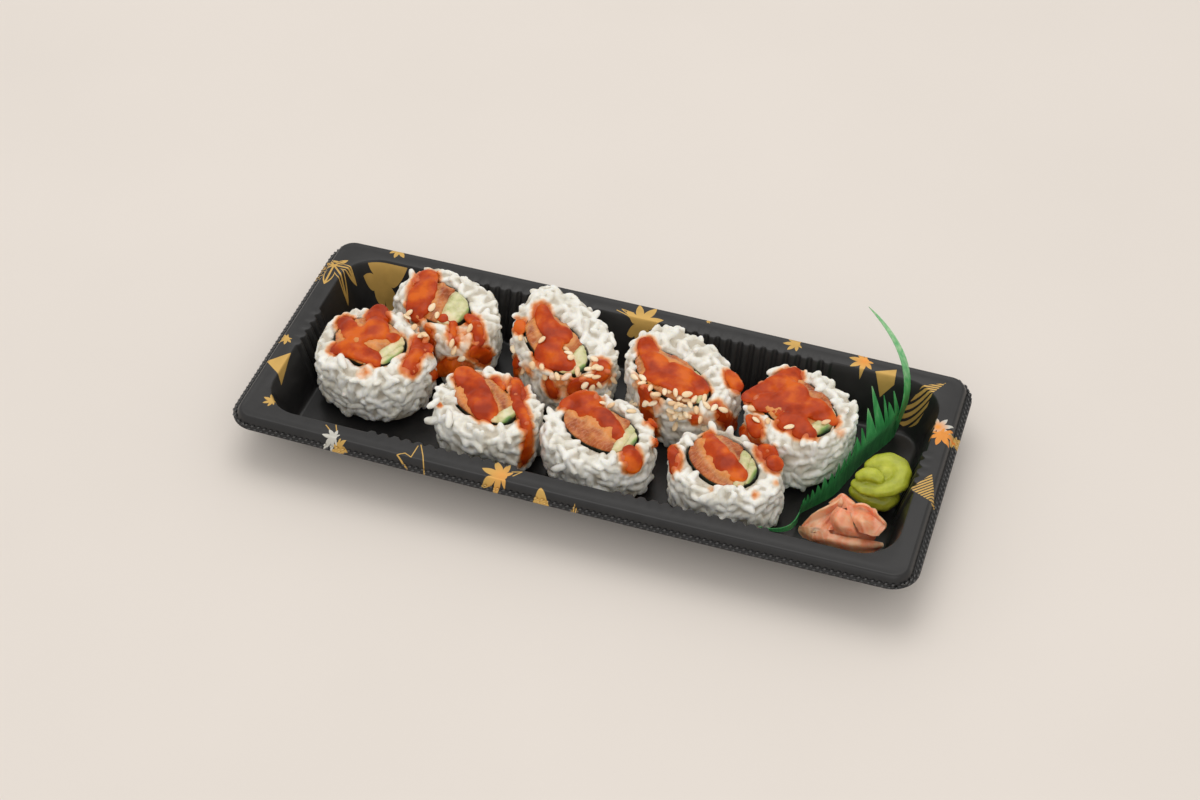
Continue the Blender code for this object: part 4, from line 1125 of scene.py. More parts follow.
# sauce: for each roll its strokes, as photo pixels with a radius in mm
sauce = dict(voxel=0.00042, step=0.0006, widen=1.26, flatness=0.30, thickest=0.0010, sink=0.20, smoothing=6,
             evenOut=4, evenWithin=0.004, pixelsPerMm=3.17, soakReach=0.0024)
strokes = {
    1: [[(379, 306, 2.6), (378, 316, 3.2), (376, 328, 3.4), (381, 339, 2.6)],
        [(345, 321, 2.4), (349, 330, 2.8), (354, 337, 2.6), (364, 334, 3.0), (372, 333, 3.2)],
        [(332, 351, 1.8), (343, 346, 2.8), (354, 350, 3.0), (366, 353, 3.2), (375, 358, 2.4),
         (379, 367, 1.6)],
        [(391, 339, 2.2), (400, 338, 1.8)],
        [(418, 338, 1.6), (417, 351, 2.2), (414, 360, 2.0), (408, 367, 2.4), (413, 376, 1.8)],
        [(425, 345, 2.0), (430, 355, 1.4)]],
    2: [[(429, 273, 2.7), (426, 280, 3.5), (423, 289, 4.1), (421, 298, 3.9), (418, 306, 3.8),
         (417, 314, 2.8), (416, 321, 2.0)],
        [(426, 327, 1.6), (430, 336, 1.4), (431, 346, 1.5), (434, 355, 1.2)],
        [(465, 317, 1.6), (471, 318, 1.8), (477, 323, 1.7), (476, 332, 1.9), (480, 341, 1.8),
         (482, 347, 1.4)],
        [(451, 321, 1.3), (455, 326, 1.2), (452, 336, 1.3), (457, 347, 1.3)],
        [(444, 321, 1.6), (441, 313, 1.3)],
        [(471, 352, 2.2), (479, 352, 2.4), (485, 357, 2.4), (489, 363, 1.6)]],
    3: [[(434, 375, 1.6), (442, 370, 2.4), (452, 366, 3.0), (461, 368, 3.2), (466, 376, 3.4),
         (471, 384, 3.6), (476, 393, 3.8), (481, 401, 3.7), (485, 409, 3.4), (489, 416, 2.8),
         (492, 422, 1.8)],
        [(516, 363, 1.8), (516, 373, 1.9), (518, 383, 1.6), (514, 400, 1.8), (521, 410, 1.8),
         (525, 421, 1.6), (529, 431, 1.6), (529, 442, 1.7), (527, 452, 1.7), (524, 462, 1.3),
         (523, 468, 0.8)],
        [(493, 379, 1.4), (503, 386, 1.3), (502, 394, 1.0)]],
    4: [[(541, 307, 2.2), (542, 315, 2.4), (546, 324, 2.8), (553, 331, 3.4), (560, 336, 3.4),
         (569, 336, 2.0)],
        [(520, 321, 1.9), (520, 328, 2.0), (520, 335, 1.5)],
        [(554, 341, 3.6), (546, 350, 3.4), (540, 355, 2.6), (549, 360, 3.2), (559, 360, 3.2),
         (567, 363, 2.8), (573, 369, 2.0)],
        [(515, 359, 1.6), (517, 369, 1.9), (516, 380, 1.9), (520, 391, 1.7), (523, 403, 1.5)],
        [(548, 381, 1.9), (552, 390, 2.0), (555, 399, 1.8)],
        [(599, 361, 2.0), (603, 368, 2.4), (602, 377, 2.2), (592, 385, 1.6), (580, 382, 2.0),
         (573, 388, 2.2), (578, 396, 2.2)]],
    5: [[(561, 404, 1.6), (570, 404, 2.6), (581, 402, 3.2), (589, 401, 3.2), (594, 406, 3.2),
         (586, 410, 3.2), (576, 409, 2.6)],
        [(596, 414, 3.0), (605, 419, 3.0), (612, 426, 2.6), (617, 434, 2.2), (621, 440, 1.8)],
        [(627, 448, 2.0), (631, 454, 2.4), (633, 460, 2.7), (634, 466, 2.7), (633, 471, 2.0)],
        [(621, 385, 1.4), (628, 393, 1.3)],
        [(640, 390, 1.9), (647, 396, 2.0), (645, 410, 1.9), (650, 415, 2.4), (653, 422, 1.7),
         (656, 432, 0.8), (657, 443, 0.9), (661, 455, 1.2)]],
    6: [[(644, 342, 2.4), (651, 355, 3.0), (656, 365, 3.4), (667, 370, 3.4), (680, 376, 3.4),
         (691, 381, 3.6), (699, 388, 3.2), (704, 394, 2.0)],
        [(647, 374, 2.4), (660, 376, 3.0), (672, 382, 3.0), (684, 388, 3.2), (694, 393, 2.4)],
        [(726, 369, 1.1), (732, 377, 1.9), (738, 386, 1.9), (739, 393, 1.3)],
        [(715, 404, 1.5), (719, 412, 1.8), (728, 422, 1.8), (739, 430, 1.9), (751, 438, 1.9)],
        [(750, 416, 1.8), (754, 426, 2.1), (758, 437, 2.0)]],
    7: [[(708, 434, 1.6), (709, 440, 2.3), (713, 448, 2.6), (718, 454, 3.0), (723, 461, 3.2),
         (728, 466, 3.1), (734, 471, 3.0), (740, 474, 2.8), (740, 480, 2.0)],
        [(668, 448, 1.4), (673, 450, 1.5), (674, 457, 1.8), (674, 464, 1.7), (672, 471, 1.3),
         (671, 477, 1.0)],
        [(759, 446, 1.8), (765, 452, 2.4), (770, 457, 2.6), (775, 462, 2.4), (777, 468, 1.7)],
        [(694, 422, 1.5), (698, 416, 1.1)]],
    8: [[(798, 372, 2.2), (787, 380, 3.4), (774, 385, 3.0), (761, 392, 2.4), (747, 397, 1.9),
         (740, 401, 1.8)],
        [(786, 392, 4.4), (798, 396, 4.0), (785, 406, 4.0), (769, 401, 3.4), (757, 405, 2.8)],
        [(797, 410, 3.8), (809, 405, 3.4), (821, 412, 3.0), (829, 418, 2.4), (836, 424, 1.7)],
        [(782, 420, 2.8), (798, 425, 3.2), (806, 434, 2.4), (817, 432, 1.5)]],
}
# thin sauce that only tints the rice: pixel, radius in mm, strength
tints = ((364, 372, 3.0, 0.6), (440, 405, 1.3, 0.9), (462, 335, 7.0, 0.55), (480, 355, 5.0, 0.7),
         (527, 372, 4.0, 0.6), (560, 385, 6.0, 0.55), (610, 378, 4.0, 0.8), (638, 382, 5.0, 0.6),
         (655, 402, 4.5, 0.7), (425, 340, 5.0, 0.8), (735, 425, 5.0, 0.7), (712, 490, 1.8, 0.5),
         (755, 495, 1.8, 0.7), (776, 482, 1.6, 0.6), (700, 420, 4.0, 0.6), (400, 352, 4.0, 0.6),
         (505, 385, 5.0, 0.7), (762, 395, 4.0, 0.7), (840, 432, 2.5, 0.5), (620, 450, 3.0, 0.6))


def strokeSamples(stroke):
    # (place, normal, radius) along a stroke, laid on the food and evened out over its crevices
    samples = []
    for (ax, ay, ar), (bx, by, br) in zip(stroke, stroke[1:]):
        span = math.hypot(bx - ax, by - ay) / sauce["pixelsPerMm"]
        steps = max(1, round(span / (sauce["step"] / mm)))
        for k in range(steps):
            share = k / steps
            ray = pixelRay(ax + (bx - ax) * share, ay + (by - ay) * share)
            hit, normal, *_ = foodSurface.ray_cast(eye, ray)
            if hit:
                samples.append((hit, normal, (ar + (br - ar) * share) * mm))
    evened = []
    for k, (place, normal, radius) in enumerate(samples):
        near = samples[max(0, k - sauce["evenOut"]):k + sauce["evenOut"] + 1]
        near = [s for s in near if (s[0] - place).length < sauce["evenWithin"]]
        middle = sum((s[0] for s in near), Vector()) / len(near)
        facing = sum((s[1] for s in near), Vector((0, 0, 0.5)))
        evened.append((middle, facing.normalized(), radius * sauce["widen"]))
    return evened


sauceSamples = {n: [s for stroke in strokes[n] for s in strokeSamples(stroke)] for n in rollNumbers}
tintSamples = []
for tintX, tintY, tintSize, tintStrength in tints:
    tintHit = foodSurface.ray_cast(eye, pixelRay(tintX, tintY))[0]
    if tintHit:
        tintSamples.append((tintHit, tintSize * mm, tintStrength))


def soaked(places):
    # how far the sauce has soaked in at each place, from 0 to 1
    total = np.zeros(len(places))
    for samples in sauceSamples.values():
        for place, _, radius in samples:
            off = np.linalg.norm(places - np.array(place), axis=1) - radius * 0.9
            total = np.maximum(total, np.clip(1 - off / sauce["soakReach"], 0, 1) ** 1.5)
    for place, radius, strength in tintSamples:
        off = np.linalg.norm(places - np.array(place), axis=1) / radius
        total = np.maximum(total, strength * np.clip(1.25 - off, 0, 1))
    return total


def makeSauceMaterial():
    material, tree, shader = newMaterial(
        "spicySauce", Roughness=0.30, Specular_IOR_Level=0.12, Coat_Weight=0.10, Coat_Roughness=0.05,
        Subsurface_Weight=0.15, Subsurface_Radius=(0.9, 0.25, 0.06), Subsurface_Scale=0.0015)
    uneven = groupNode(tree, fineUnevenness, Scale=150.0, Fine=7.0, Contrast=2.2).outputs
    colour = rampNode(tree, uneven["Mask"], (0.15, (0.31, 0.026, 0.002)), (0.5, (0.47, 0.050, 0.003)),
                      (0.85, (0.66, 0.120, 0.006)))
    tree.links.new(colour, shader.inputs["Base Color"])
    bumpInto(tree, shader, uneven["Height"], 0.2, 0.0005)
    return material


def makeSauce(number, material):
    blobs = []
    for place, normal, radius in sauceSamples[number]:
        wobble = 1 + 0.14 * noise.noise(place * 420)
        tall = min(radius * sauce["flatness"], sauce["thickest"]) * wobble
        blobs.append((place - normal * tall * sauce["sink"], normal, radius * wobble, tall))
    obj = melt(blobMesh(f"sauce_{number}", blobs), sauce["voxel"], sauce["smoothing"])
    return finishPiece(obj, material, "salmon")


sauceMaterial = makeSauceMaterial()
saucePieces = [makeSauce(number, sauceMaterial) for number in rollNumbers]
for piece in ricePieces + fillingPieces:
    storeValues(piece.data, "stain", soaked(vertexArray(piece.data)))
print("sauce poured")

# sesame seeds and loose grains, dropped on what lies under their pixels
seed = dict(length=0.0034, width=0.0020, thick=0.0011, lowest=0.008)
seedPixels = (
    (432, 308), (437, 316), (409, 314), (407, 318), (414, 328), (422, 336), (425, 336), (470, 329),
    (462, 359), (454, 351), (452, 344), (520, 339), (527, 340), (542, 341), (514, 350), (566, 350),
    (568, 354), (571, 358), (594, 360), (533, 366), (542, 368), (524, 371), (577, 372), (578, 375),
    (588, 370), (595, 368), (599, 369), (545, 376), (557, 377), (589, 377), (596, 378), (585, 385),
    (598, 385), (592, 388), (613, 381), (608, 395), (613, 396), (602, 404), (611, 406), (633, 403),
    (637, 405), (631, 412), (635, 378), (643, 378), (642, 384), (650, 389), (656, 395), (646, 404),
    (653, 404), (665, 392), (671, 391), (676, 393), (687, 395), (694, 400), (680, 398), (686, 401),
    (673, 404), (679, 406), (690, 406), (704, 399), (706, 406), (696, 411), (700, 420), (704, 429),
    (714, 409), (723, 410), (752, 409), (743, 420), (756, 421), (768, 422), (789, 428), (826, 423),
    (831, 430))
seedBunch = dict(pixel=(678, 417), spread=(6.0, 4.5), count=14, seed=5)
grainPixels = (((434, 420), 6.0), ((422, 439), 6.0), ((434, 404), 5.2), ((560, 468), 5.6), ((448, 420), 5.6))


def makeSeedShape():
    points = [Vector((seed["length"] / 2, 0, 0))]
    sides = 8
    rings = ((0.42, 0.42), (0.22, 0.80), (-0.05, 1.0), (-0.30, 0.86), (-0.45, 0.48))
    for along, share in rings:
        for k in range(sides):
            angle = 2 * math.pi * k / sides
            points.append(Vector((along * seed["length"], share * seed["width"] / 2 * math.cos(angle),
                                  share * seed["thick"] / 2 * math.sin(angle))))
    points.append(Vector((-seed["length"] / 2, 0, 0)))
    return shapeToCopy("seedShape", points, spindleFaces(len(rings), sides))


def makeScatterTree():
    tree, source, result = newTree(
        "laidOnSurface", "GeometryNodeTree",
        [("Geometry", "NodeSocketGeometry", None), ("Shape", "NodeSocketObject", None),
         ("Seed", "NodeSocketInt", 0), ("Finish", "NodeSocketMaterial", None)],
        [("Geometry", "NodeSocketGeometry")])
    take = source.outputs
    points = addNode(tree, "GeometryNodeMeshToPoints", {"Mesh": take["Geometry"]})
    facing = addNode(tree, "GeometryNodeInputNamedAttribute", {"Name": "upward"}, data_type="FLOAT_VECTOR")
    flat = addNode(tree, "FunctionNodeAlignRotationToVector", {"Vector": facing.outputs[0]}, axis="Z")
    tilt = randomVector(tree, (-0.35, -0.25, 0.0), (0.35, 0.25, 6.283), take["Seed"])
    size = randomVector(tree, (0.85, 0.85, 0.85), (1.08, 1.1, 1.1), 4)
    info = addNode(tree, "GeometryNodeObjectInfo", {"Object": take["Shape"], "As Instance": True})
    _, real = placeCopies(tree, points.outputs[0], info.outputs["Geometry"], flat.outputs[0], tilt, size, 6)
    finish = addNode(tree, "GeometryNodeSetMaterial", {"Geometry": real, "Material": take["Finish"]})
    tree.links.new(finish.outputs[0], result.inputs[0])
    return tree


def makeSeedMaterial():
    material, tree, shader = newMaterial("toastedSesame", Subsurface_Weight=0.15,
                                         Subsurface_Radius=(0.8, 0.5, 0.3), Subsurface_Scale=0.001)
    tone = addNode(tree, "ShaderNodeAttribute", attribute_name="tone").outputs["Fac"]
    uneven = groupNode(tree, fineUnevenness, Scale=900.0, Fine=4.0, Contrast=1.6).outputs
    shade = mathNode(tree, "MULTIPLY_ADD", tone, 0.7, mathNode(tree, "MULTIPLY", uneven["Mask"], 0.3))
    colour = rampNode(tree, shade, (0.1, (0.78, 0.50, 0.26)), (0.5, (0.90, 0.68, 0.42)),
                      (0.9, (0.95, 0.80, 0.58)))
    finishShader(tree, shader, colour, uneven, (0.2, 0.3), (0.3, 0.0001))
    return material


def droppedPoints(name, pixels, surface, lift):
    places = []
    directions = []
    for px, py in pixels:
        hit, normal, *_ = surface.ray_cast(eye, pixelRay(px, py))
        if hit and hit.z > seed["lowest"]:
            leaned = (normal + Vector((0, 0, 1.2))).normalized()
            places.append(hit + leaned * lift)
            directions.append(leaned)
    mesh = bpy.data.meshes.new(name)
    mesh.from_pydata([tuple(p) for p in places], [], [])
    facing = mesh.attributes.new("upward", "FLOAT_VECTOR", "POINT")
    facing.data.foreach_set("vector", np.array(directions, np.float32).reshape(-1))
    return linkedObject(name, mesh)


def makeLooseThings():
    draw = random.Random(seedBunch["seed"])
    pixels = list(seedPixels)
    for _ in range(seedBunch["count"]):
        pixels.append((seedBunch["pixel"][0] + draw.gauss(0, seedBunch["spread"][0]),
                       seedBunch["pixel"][1] + draw.gauss(0, seedBunch["spread"][1])))
    surface = treeOf(*ricePieces, *saucePieces, *fillingPieces)
    tree = makeScatterTree()
    finish = makeSeedMaterial()
    seeds = droppedPoints("sesameSeeds", pixels, surface, seed["thick"] * 0.45)
    runNodes(seeds, tree, Shape=makeSeedShape(), Seed=3, Finish=finish)
    finishPiece(seeds, finish, "rice")
    grains = droppedPoints("looseGrains", [p for p, _ in grainPixels], surface, rice["grainWidth"] * 0.25)
    runNodes(grains, tree, Shape=grainShapes[0], Seed=8, Finish=riceMaterial)
    # the loose grains get no painted crevice shade
    storeValues(grains.data, "proud", np.ones(len(grains.data.vertices)))
    finishPiece(grains, riceMaterial, "rice")


makeLooseThings()
print("seeds scattered")

# wasabi: a fat curl of paste with a tongue folded over it, on a tapering lump
wasabi = dict(voxel=0.00035, smoothing=3, step=0.0007,
              squash=dict(coil=0.72, middle=0.9, tongue=0.72, base=0.9),
    coil=(
    (872, 466, 13.0, 2.6), (880, 462, 14.0, 3.0), (890, 461, 14.4, 3.2), (899, 466, 14.2, 3.3),
    (902, 474, 13.6, 3.3), (899, 483, 12.8, 3.3), (890, 488, 12.0, 3.2), (877, 490, 11.6, 3.0),
    (864, 488, 11.4, 2.6), (857, 484, 11.4, 2.1)),
    middle=((884, 474, 12.4, 3.0), (891, 474, 12.4, 3.0), (880, 480, 11.4, 2.8)),
    tongue=((861, 476, 14.2, 2.0), (867, 474, 15.0, 2.5), (873, 475, 15.2, 2.6), (878, 478, 14.8, 2.2)),
    base=((856, 491, 7.8, 2.4), (864, 496, 6.6, 2.9), (873, 500, 5.8, 3.3), (883, 502, 5.2, 3.3),
          (890, 497, 6.6, 3.3), (880, 492, 7.5, 4.0), (885, 490, 4.6, 3.8), (875, 492, 4.0, 3.2)))


def pathBlobs(marks, step):
    places = [(pixelAt(px, py, height * mm), radius * mm) for px, py, height, radius in marks]
    blobs = []
    for (a, ra), (b, rb) in zip(places, places[1:]):
        steps = max(1, round((b - a).length / step))
        for k in range(steps):
            share = k / steps
            blobs.append((a.lerp(b, share), Vector((0, 0, 1)), ra + (rb - ra) * share))
    blobs.append((places[-1][0], Vector((0, 0, 1)), places[-1][1]))
    return blobs


def restOnFloor(obj, floor):
    places = vertexArray(obj.data)
    places[:, 2] = np.maximum(places[:, 2], floor)
    obj.data.vertices.foreach_set("co", places.reshape(-1))


def makeWasabiMaterial():
    material, tree, shader = newMaterial(
        "wasabiPaste", Subsurface_Weight=0.25, Subsurface_Radius=(0.6, 0.8, 0.1), Subsurface_Scale=0.002,
        Coat_Weight=0.15, Coat_Roughness=0.3)
    uneven = groupNode(tree, fineUnevenness, Scale=260.0, Fine=6.0, Contrast=1.8).outputs
    colour = rampNode(tree, uneven["Mask"], (0.1, (0.31, 0.34, 0.014)), (0.5, (0.43, 0.46, 0.024)),
                      (0.9, (0.54, 0.56, 0.050)))
    finishShader(tree, shader, colour, uneven, (0.2, 0.35), (0.45, 0.0006))
    return material


def makeWasabi():
    blobs = []
    for part, squash in wasabi["squash"].items():
        for place, upward, radius in pathBlobs(wasabi[part], wasabi["step"]):
            blobs.append((place, upward, radius, radius * squash))
    obj = melt(blobMesh("wasabiCurl", blobs), wasabi["voxel"], wasabi["smoothing"], 0.5)
    restOnFloor(obj, tray["foodFloor"])
    return finishPiece(obj, makeWasabiMaterial(), "wasabi_paste", "wasabi")


makeWasabi()
print("wasabi curled")

# ginger: thin folded slices, each a sheet through rows of pixels with heights in mm
ginger = dict(thick=0.00075, steps=8, ruffle=0.0004, ruffleScale=300, coreStep=0.0015, coreVoxel=0.0006,
    slices=(
    (((846, 506, 11.5), (857, 504, 12.5), (866, 505, 12.5), (875, 510, 11.5)),
     ((848, 512, 11.0), (859, 511, 10.4), (870, 512, 9.8), (882, 520, 11.0)),
     ((853, 520, 10.0), (862, 521, 11.6), (873, 522, 9.4), (886, 527, 9.5)),
     ((860, 532, 8.5), (866, 534, 9.0), (872, 536, 8.5), (878, 536, 8.0))),
    (((838, 507, 12.0), (842, 509, 12.6), (847, 511, 11.8), (851, 514, 10.5)),
     ((832, 515, 10.5), (838, 517, 12.0), (845, 520, 11.4), (852, 523, 9.5)),
     ((831, 522, 9.0), (838, 525, 10.6), (846, 528, 10.0), (855, 531, 8.4)),
     ((836, 532, 6.5), (843, 534, 7.6), (850, 535, 7.6), (859, 536, 6.6))),
    (((841, 496, 12.5), (836, 502, 12.0), (826, 507, 10.6), (812, 514, 8.0)),
     ((843, 503, 11.5), (836, 509, 9.6), (826, 516, 7.0), (806, 521, 6.0)),
     ((838, 512, 9.0), (830, 520, 6.2), (820, 526, 6.2), (801, 527, 4.0)),
     ((836, 530, 5.5), (827, 531, 6.6), (815, 533, 5.5), (802, 534, 2.4))),
    (((818, 531, 6.5), (836, 535, 7.0), (856, 539, 6.0), (882, 543, 4.5)),
     ((812, 538, 4.6), (834, 541, 6.4), (856, 545, 5.6), (883, 546, 4.0)),
     ((822, 544, 2.6), (838, 547, 4.0), (856, 550, 3.6), (878, 549, 2.4)),
     ((832, 548, 1.8), (842, 551, 2.0), (856, 554, 2.0), (872, 553, 1.8))),
    (((800, 526, 4.0), (809, 527, 5.6), (819, 528, 6.4), (828, 530, 6.8)),
     ((799, 531, 2.6), (808, 534, 4.2), (819, 536, 5.4), (832, 537, 6.0)),
     ((803, 537, 1.8), (812, 540, 2.6), (823, 542, 3.6), (836, 544, 4.4))),
    (((829, 503, 9.0), (836, 498, 11.0), (842, 494, 12.2), (848, 499, 11.4)),
     ((834, 506, 9.4), (840, 502, 11.0), (847, 502, 11.6), (856, 505, 11.6)),
     ((839, 510, 9.6), (846, 508, 10.6), (853, 508, 10.8), (862, 509, 10.6)))),
    core=((816, 532, 2.6, 2.6), (828, 531, 3.4, 3.4), (842, 532, 4.0, 4.0), (858, 533, 4.0, 3.8),
          (870, 536, 3.0, 2.8)))


def makeGingerMaterial():
    material, tree, shader = newMaterial(
        "pickledGinger", Subsurface_Weight=0.6, Subsurface_Radius=(1.0, 0.4, 0.25), Subsurface_Scale=0.003,
        Coat_Weight=0.2, Coat_Roughness=0.15)
    uneven = groupNode(tree, fineUnevenness, Scale=200.0, Fine=5.0, Contrast=2.2).outputs
    veins = bandsNode(tree, (0.3, 0.5, 0.5), 190.0, 8.0, 3.0, 1.5)
    flesh = rampNode(tree, uneven["Mask"], (0.1, (0.94, 0.23, 0.11)), (0.5, (0.98, 0.34, 0.17)),
                     (0.9, (0.99, 0.50, 0.29)))
    pale = mathNode(tree, "MULTIPLY", mathNode(tree, "GREATER_THAN", veins, 0.8), 0.22)
    colour = mixColour(tree, pale, flesh, (0.95, 0.58, 0.42, 1))
    tree.links.new(colour, shader.inputs["Base Color"])
    tree.links.new(mathNode(tree, "MULTIPLY_ADD", uneven["Mask"], 0.2, 0.22), shader.inputs["Roughness"])
    height = mathNode(tree, "MULTIPLY_ADD", veins, 0.25, uneven["Height"])
    bumpInto(tree, shader, height, 0.4, 0.0005)
    return material


def curvedRows(points, steps):
    # more rows between the given ones, on curves through them all
    ends = np.concatenate([2 * points[:1] - points[1:2], points, 2 * points[-1:] - points[-2:-1]])
    rows = []
    for k in range(len(points) - 1):
        a, b, c, d = ends[k:k + 4]
        for step in range(steps):
            t = step / steps
            rows.append(curvePoint(a, b, c, d, t))
    rows.append(points[-1])
    return np.array(rows)


def sheetThrough(rows, name):
    # a thin slice through a grid of marks
    marks = np.array([[pixelAt(px, py, height * mm) for px, py, height in row] for row in rows])
    marks = curvedRows(marks, ginger["steps"])
    marks = curvedRows(marks.transpose(1, 0, 2), ginger["steps"])
    down, across = marks.shape[:2]
    points = marks.reshape(-1, 3)
    faces = []
    for r in range(down - 1):
        for c in range(across - 1):
            a = r * across + c
            faces.append((a, a + 1, a + across + 1, a + across))
    obj = meshObject(name, points, faces, outward=False)
    for vertex in obj.data.vertices:
        at = vertex.co * ginger["ruffleScale"]
        vertex.co += vertex.normal * noise.noise(at) * ginger["ruffle"]
    addModifier(obj, "SOLIDIFY", thickness=ginger["thick"], offset=0.0)
    freeze(obj)
    return obj


def joinedInto(name, objects):
    work = bmesh.new()
    for obj in objects:
        work.from_mesh(obj.data)
        bpy.data.objects.remove(obj)
    mesh = bpy.data.meshes.new(name)
    work.to_mesh(mesh)
    work.free()
    mesh.shade_smooth()
    return linkedObject(name, mesh)


def makeGinger():
    sheets = [sheetThrough(rows, f"slice_{k}") for k, rows in enumerate(ginger["slices"])]
    blobs = [(place, upward, radius * 0.75, radius * 0.6)
             for place, upward, radius in pathBlobs(ginger["core"], ginger["coreStep"])]
    sheets.append(melt(blobMesh("gingerCore", blobs), ginger["coreVoxel"], 2))
    obj = joinedInto("gingerSlices", sheets)
    obj.data.set_sharp_from_angle(angle=math.radians(50))
    restOnFloor(obj, tray["foodFloor"])
    return finishPiece(obj, makeGingerMaterial(), "pickled_ginger", "ginger")


makeGinger()
print("ginger folded")

# leaf divider: a thin standing strip cut into spikes, with a blade at each end
leaf = dict(thick=0.00028, path=((0.0685, -0.0165), (0.0684, -0.0130), (0.0714, -0.0088), (0.0762, -0.0024),
                                 (0.0790, 0.0056), (0.0812, 0.0130), (0.0842, 0.0196), (0.0870, 0.0252),
                                 (0.0886, 0.0296)),
            floor=0.0009, band=(0.0045, 0.0120), bandGrowth=(0.20, 0.45), spikes=24, spike=(0.0040, 0.0150),
            tallFrom=0.15, tallBy=0.62, teeth=(
                (13, 14, (857, 437)), (14, 15, (862, 428)), (15, 17, (868, 408)), (17, 19, (872, 386)),
                (19, 20, (884, 395)), (20, 22, (889, 402)), (22, 24, (894, 391))),
            lean=0.0012, sweep=0.16, flare=0.10, wave=0.0006, tipSteps=6, seed=7,
            backBlade=((0.0955, 0.0345, 0.0295), (0.0735, 0.0420, 0.0420)), backHalf=0.0024,
            frontBlade=((0.0690, -0.0290, 0.0075), (0.0600, -0.0333, 0.0135)), frontHalf=0.0016,
            bladeSteps=16)


def leafPoint(share):
    # a place along the leaf's foot, and the direction square to it
    places = [Vector(p) for p in leaf["path"]]
    spans = len(places) - 1
    at = min(share * spans, spans - 1e-6)
    k = int(at)
    t = at - k
    before = places[max(k - 1, 0)]
    here = places[k]
    after = places[k + 1]
    beyond = places[min(k + 2, spans)]
    place = curvePoint(before, here, after, beyond, t)
    along = (after - here).normalized()
    return place, Vector((along.y, -along.x))


def leafBand(share):
    grownBy = min(1.0, max(0.0, (share - leaf["bandGrowth"][0]) / leaf["bandGrowth"][1]))
    return leaf["band"][0] + (leaf["band"][1] - leaf["band"][0]) * grownBy


def aboveRoot(px, py, root):
    # where the pixel's ray passes over a root
    ray = pixelRay(px, py)
    toRoot = (root - eye).to_2d()
    return eye + ray * (toRoot.dot(ray.to_2d()) / ray.to_2d().length_squared)


def addSpike(points, faces, row, tip):
    # a spike narrows from a row of shoulder points up to its tip
    root = (points[row[0]] + points[row[-1]]) / 2
    half = (points[row[-1]] - points[row[0]]) / 2
    foot = list(row)
    for k in range(1, leaf["tipSteps"]):
        t = k / leaf["tipSteps"]
        middle = root.lerp(tip, t)
        width = (1 - t) ** 0.85
        here = len(points)
        points += [middle - half * width, middle + half * width]
        faces.append((*foot, here + 1, here))
        foot = [here, here + 1]
    points.append(tip)
    faces.append((*foot, len(points) - 1))


def addBlade(points, faces, edge, line, across, halfWidth):
    # a blade that narrows along a curve from its root to its tip
    a, b = edge
    root, bend, tip = line
    steps = leaf["bladeSteps"]
    for k in range(1, steps):
        t = k / steps
        middle = (1 - t) ** 2 * root + 2 * t * (1 - t) * bend + t * t * tip
        half = halfWidth * (1 - t) ** 0.7
        here = len(points)
        points += [middle - across * half, middle + across * half]
        faces.append((a, b, here + 1, here))
        a, b = here, here + 1
    points.append(tip)
    faces.append((a, b, len(points) - 1))


def makeLeafMaterial():
    material, tree, shader = newMaterial("greenFilm", Roughness=0.35, Transmission_Weight=0.12, Alpha=0.80,
                                         Coat_Weight=0.3, Coat_Roughness=0.12)
    coords = objectCoords(tree)
    stretched = addNode(tree, "ShaderNodeMapping", {"Vector": coords, "Scale": (1.0, 1.0, 0.12)})
    streaks = addNode(tree, "ShaderNodeTexNoise",
                      {"Vector": stretched.outputs[0], "Scale": 900.0, "Detail": 3.0})
    # painted light and shade: the film is coloured lighter with height, with painted shade at its foot down
    # in the well and painted light towards the tips of its spikes
    height = addNode(tree, "ShaderNodeSeparateXYZ", {0: coords}).outputs[2]
    upward = mathNode(tree, "MULTIPLY_ADD", height, 33.0, -0.45, clamp=True)
    uneven = groupNode(tree, fineUnevenness, Scale=150.0, Fine=5.0, Contrast=1.6).outputs
    shade = mathNode(tree, "MULTIPLY_ADD", streaks.outputs[0], 0.65,
                     mathNode(tree, "MULTIPLY", uneven["Mask"], 0.35))
    shade = mathNode(tree, "MULTIPLY_ADD", upward, 0.32, mathNode(tree, "SUBTRACT", shade, 0.10))
    colour = rampNode(tree, shade, (0.28, (0.035, 0.31, 0.080)), (0.52, (0.090, 0.50, 0.150)),
                      (0.85, (0.48, 0.76, 0.42)))
    tree.links.new(colour, shader.inputs["Base Color"])
    bumpInto(tree, shader, streaks.outputs[0], 0.5, 0.0003)
    return material


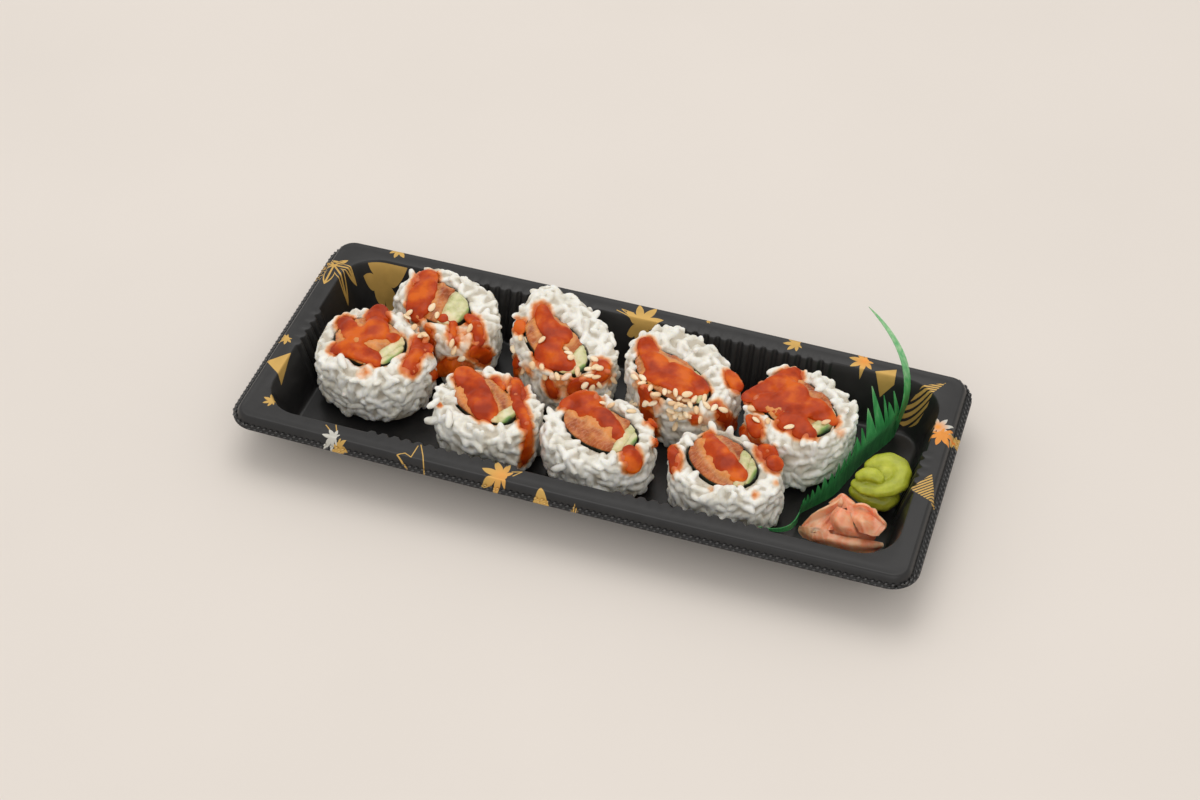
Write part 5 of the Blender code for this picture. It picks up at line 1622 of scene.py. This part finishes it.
def makeLeaf():
    draw = random.Random(leaf["seed"])
    count = leaf["spikes"] + 1
    points = []
    faces = []
    levels = 5
    for row in range(levels):
        for k in range(count):
            share = k / leaf["spikes"]
            here, side = leafPoint(share)
            band = leafBand(share)
            level = row / (levels - 1)
            out = side * (leaf["lean"] * band / leaf["band"][1] * level ** 2
                          + leaf["wave"] * math.sin(11 * share) * level)
            points.append(Vector((here.x + out.x, here.y + out.y, leaf["floor"] + band * level)))
    for row in range(levels - 1):
        for k in range(count - 1):
            a = row * count + k
            faces.append((a, a + 1, a + count + 1, a + count))
    shoulder = (levels - 1) * count
    for k in range(leaf["teeth"][0][0]):
        share = (k + 0.5) / leaf["spikes"]
        _, side = leafPoint(share)
        rise = min(1.0, max(0.0, (share - leaf["tallFrom"]) / (leaf["tallBy"] - leaf["tallFrom"])))
        tall = leaf["spike"][0] + (leaf["spike"][1] - leaf["spike"][0]) * draw.uniform(0.35, 1.0) * rise
        back = (points[k] - points[k + 1]).normalized()
        row = (shoulder + k, shoulder + k + 1)
        root = (points[row[0]] + points[row[1]]) / 2
        lean = Vector((*side, 0)) * leaf["flare"] + back * leaf["sweep"]
        addSpike(points, faces, row, root + (Vector((0, 0, 1)) + lean) * tall)
    for first, last, pixel in leaf["teeth"]:
        row = range(shoulder + first, shoulder + last + 1)
        root = (points[row[0]] + points[row[-1]]) / 2
        addSpike(points, faces, row, aboveRoot(*pixel, root))
    backRoot = (points[count - 1] + points[shoulder + count - 1]) / 2
    onward = (points[count - 1] - points[count - 2]).normalized()
    addBlade(points, faces, (shoulder + count - 1, count - 1),
             (backRoot, *(Vector(p) for p in leaf["backBlade"])), onward, leaf["backHalf"])
    frontRoot = (points[0] + points[shoulder]) / 2
    addBlade(points, faces, (0, shoulder), (frontRoot, *(Vector(p) for p in leaf["frontBlade"])),
             Vector((0, 0, 1)), leaf["frontHalf"])
    obj = meshObject("leafStrip", points, faces)
    addModifier(obj, "SOLIDIFY", thickness=leaf["thick"], offset=0.0)
    freeze(obj)
    obj.data.set_sharp_from_angle(angle=math.radians(50))
    return finishPiece(obj, makeLeafMaterial(), "green_film", "leaf_divider")


makeLeaf()
print("leaf stood up")


# floor and studio light
studio = dict(floorSize=6.0, keyAt=(-0.16, 0.34, 1.00), keyPower=3.1, keySize=0.80,
              fillAt=(0.35, -0.90, 0.75), fillPower=2.3, fillSize=0.9, sky=0.79)


def makeFloor():
    half = studio["floorSize"] / 2
    floor = meshObject("paleFloor", [(-half, -half, 0), (half, -half, 0), (half, half, 0), (-half, half, 0)],
                       [(0, 1, 2, 3)], smooth=False)
    floor.location.z = cadBounds[0].z - 0.00005
    material, tree, shader = newMaterial("paleTable", Roughness=0.6)
    uneven = groupNode(tree, fineUnevenness, Scale=9.0, Fine=14.0, Contrast=0.8).outputs
    colour = mixColour(tree, uneven["Mask"], (0.70, 0.645, 0.59, 1), (0.76, 0.70, 0.645, 1))
    tree.links.new(colour, shader.inputs["Base Color"])
    floor.data.materials.append(material)


def addLamp(name, place, power, size, colour):
    data = bpy.data.lights.new(name, "AREA")
    data.energy = power
    data.size = size
    data.color = colour
    lamp = bpy.data.objects.new(name, data)
    scene.collection.objects.link(lamp)
    lamp.location = place
    lamp.rotation_euler = (Vector((0, 0, 0.01)) - Vector(place)).to_track_quat("-Z", "Y").to_euler()


def makeStudio():
    makeFloor()
    addLamp("keyLamp", studio["keyAt"], studio["keyPower"], studio["keySize"], (1.0, 0.985, 0.96))
    addLamp("fillLamp", studio["fillAt"], studio["fillPower"], studio["fillSize"], (1.0, 0.99, 0.975))
    world = bpy.data.worlds.new("studioWorld")
    world.use_nodes = True
    world.node_tree.nodes["Background"].inputs[0].default_value = (1.0, 0.985, 0.965, 1)
    world.node_tree.nodes["Background"].inputs[1].default_value = studio["sky"]
    scene.world = world
    scene.view_settings.view_transform = "Standard"


makeStudio()
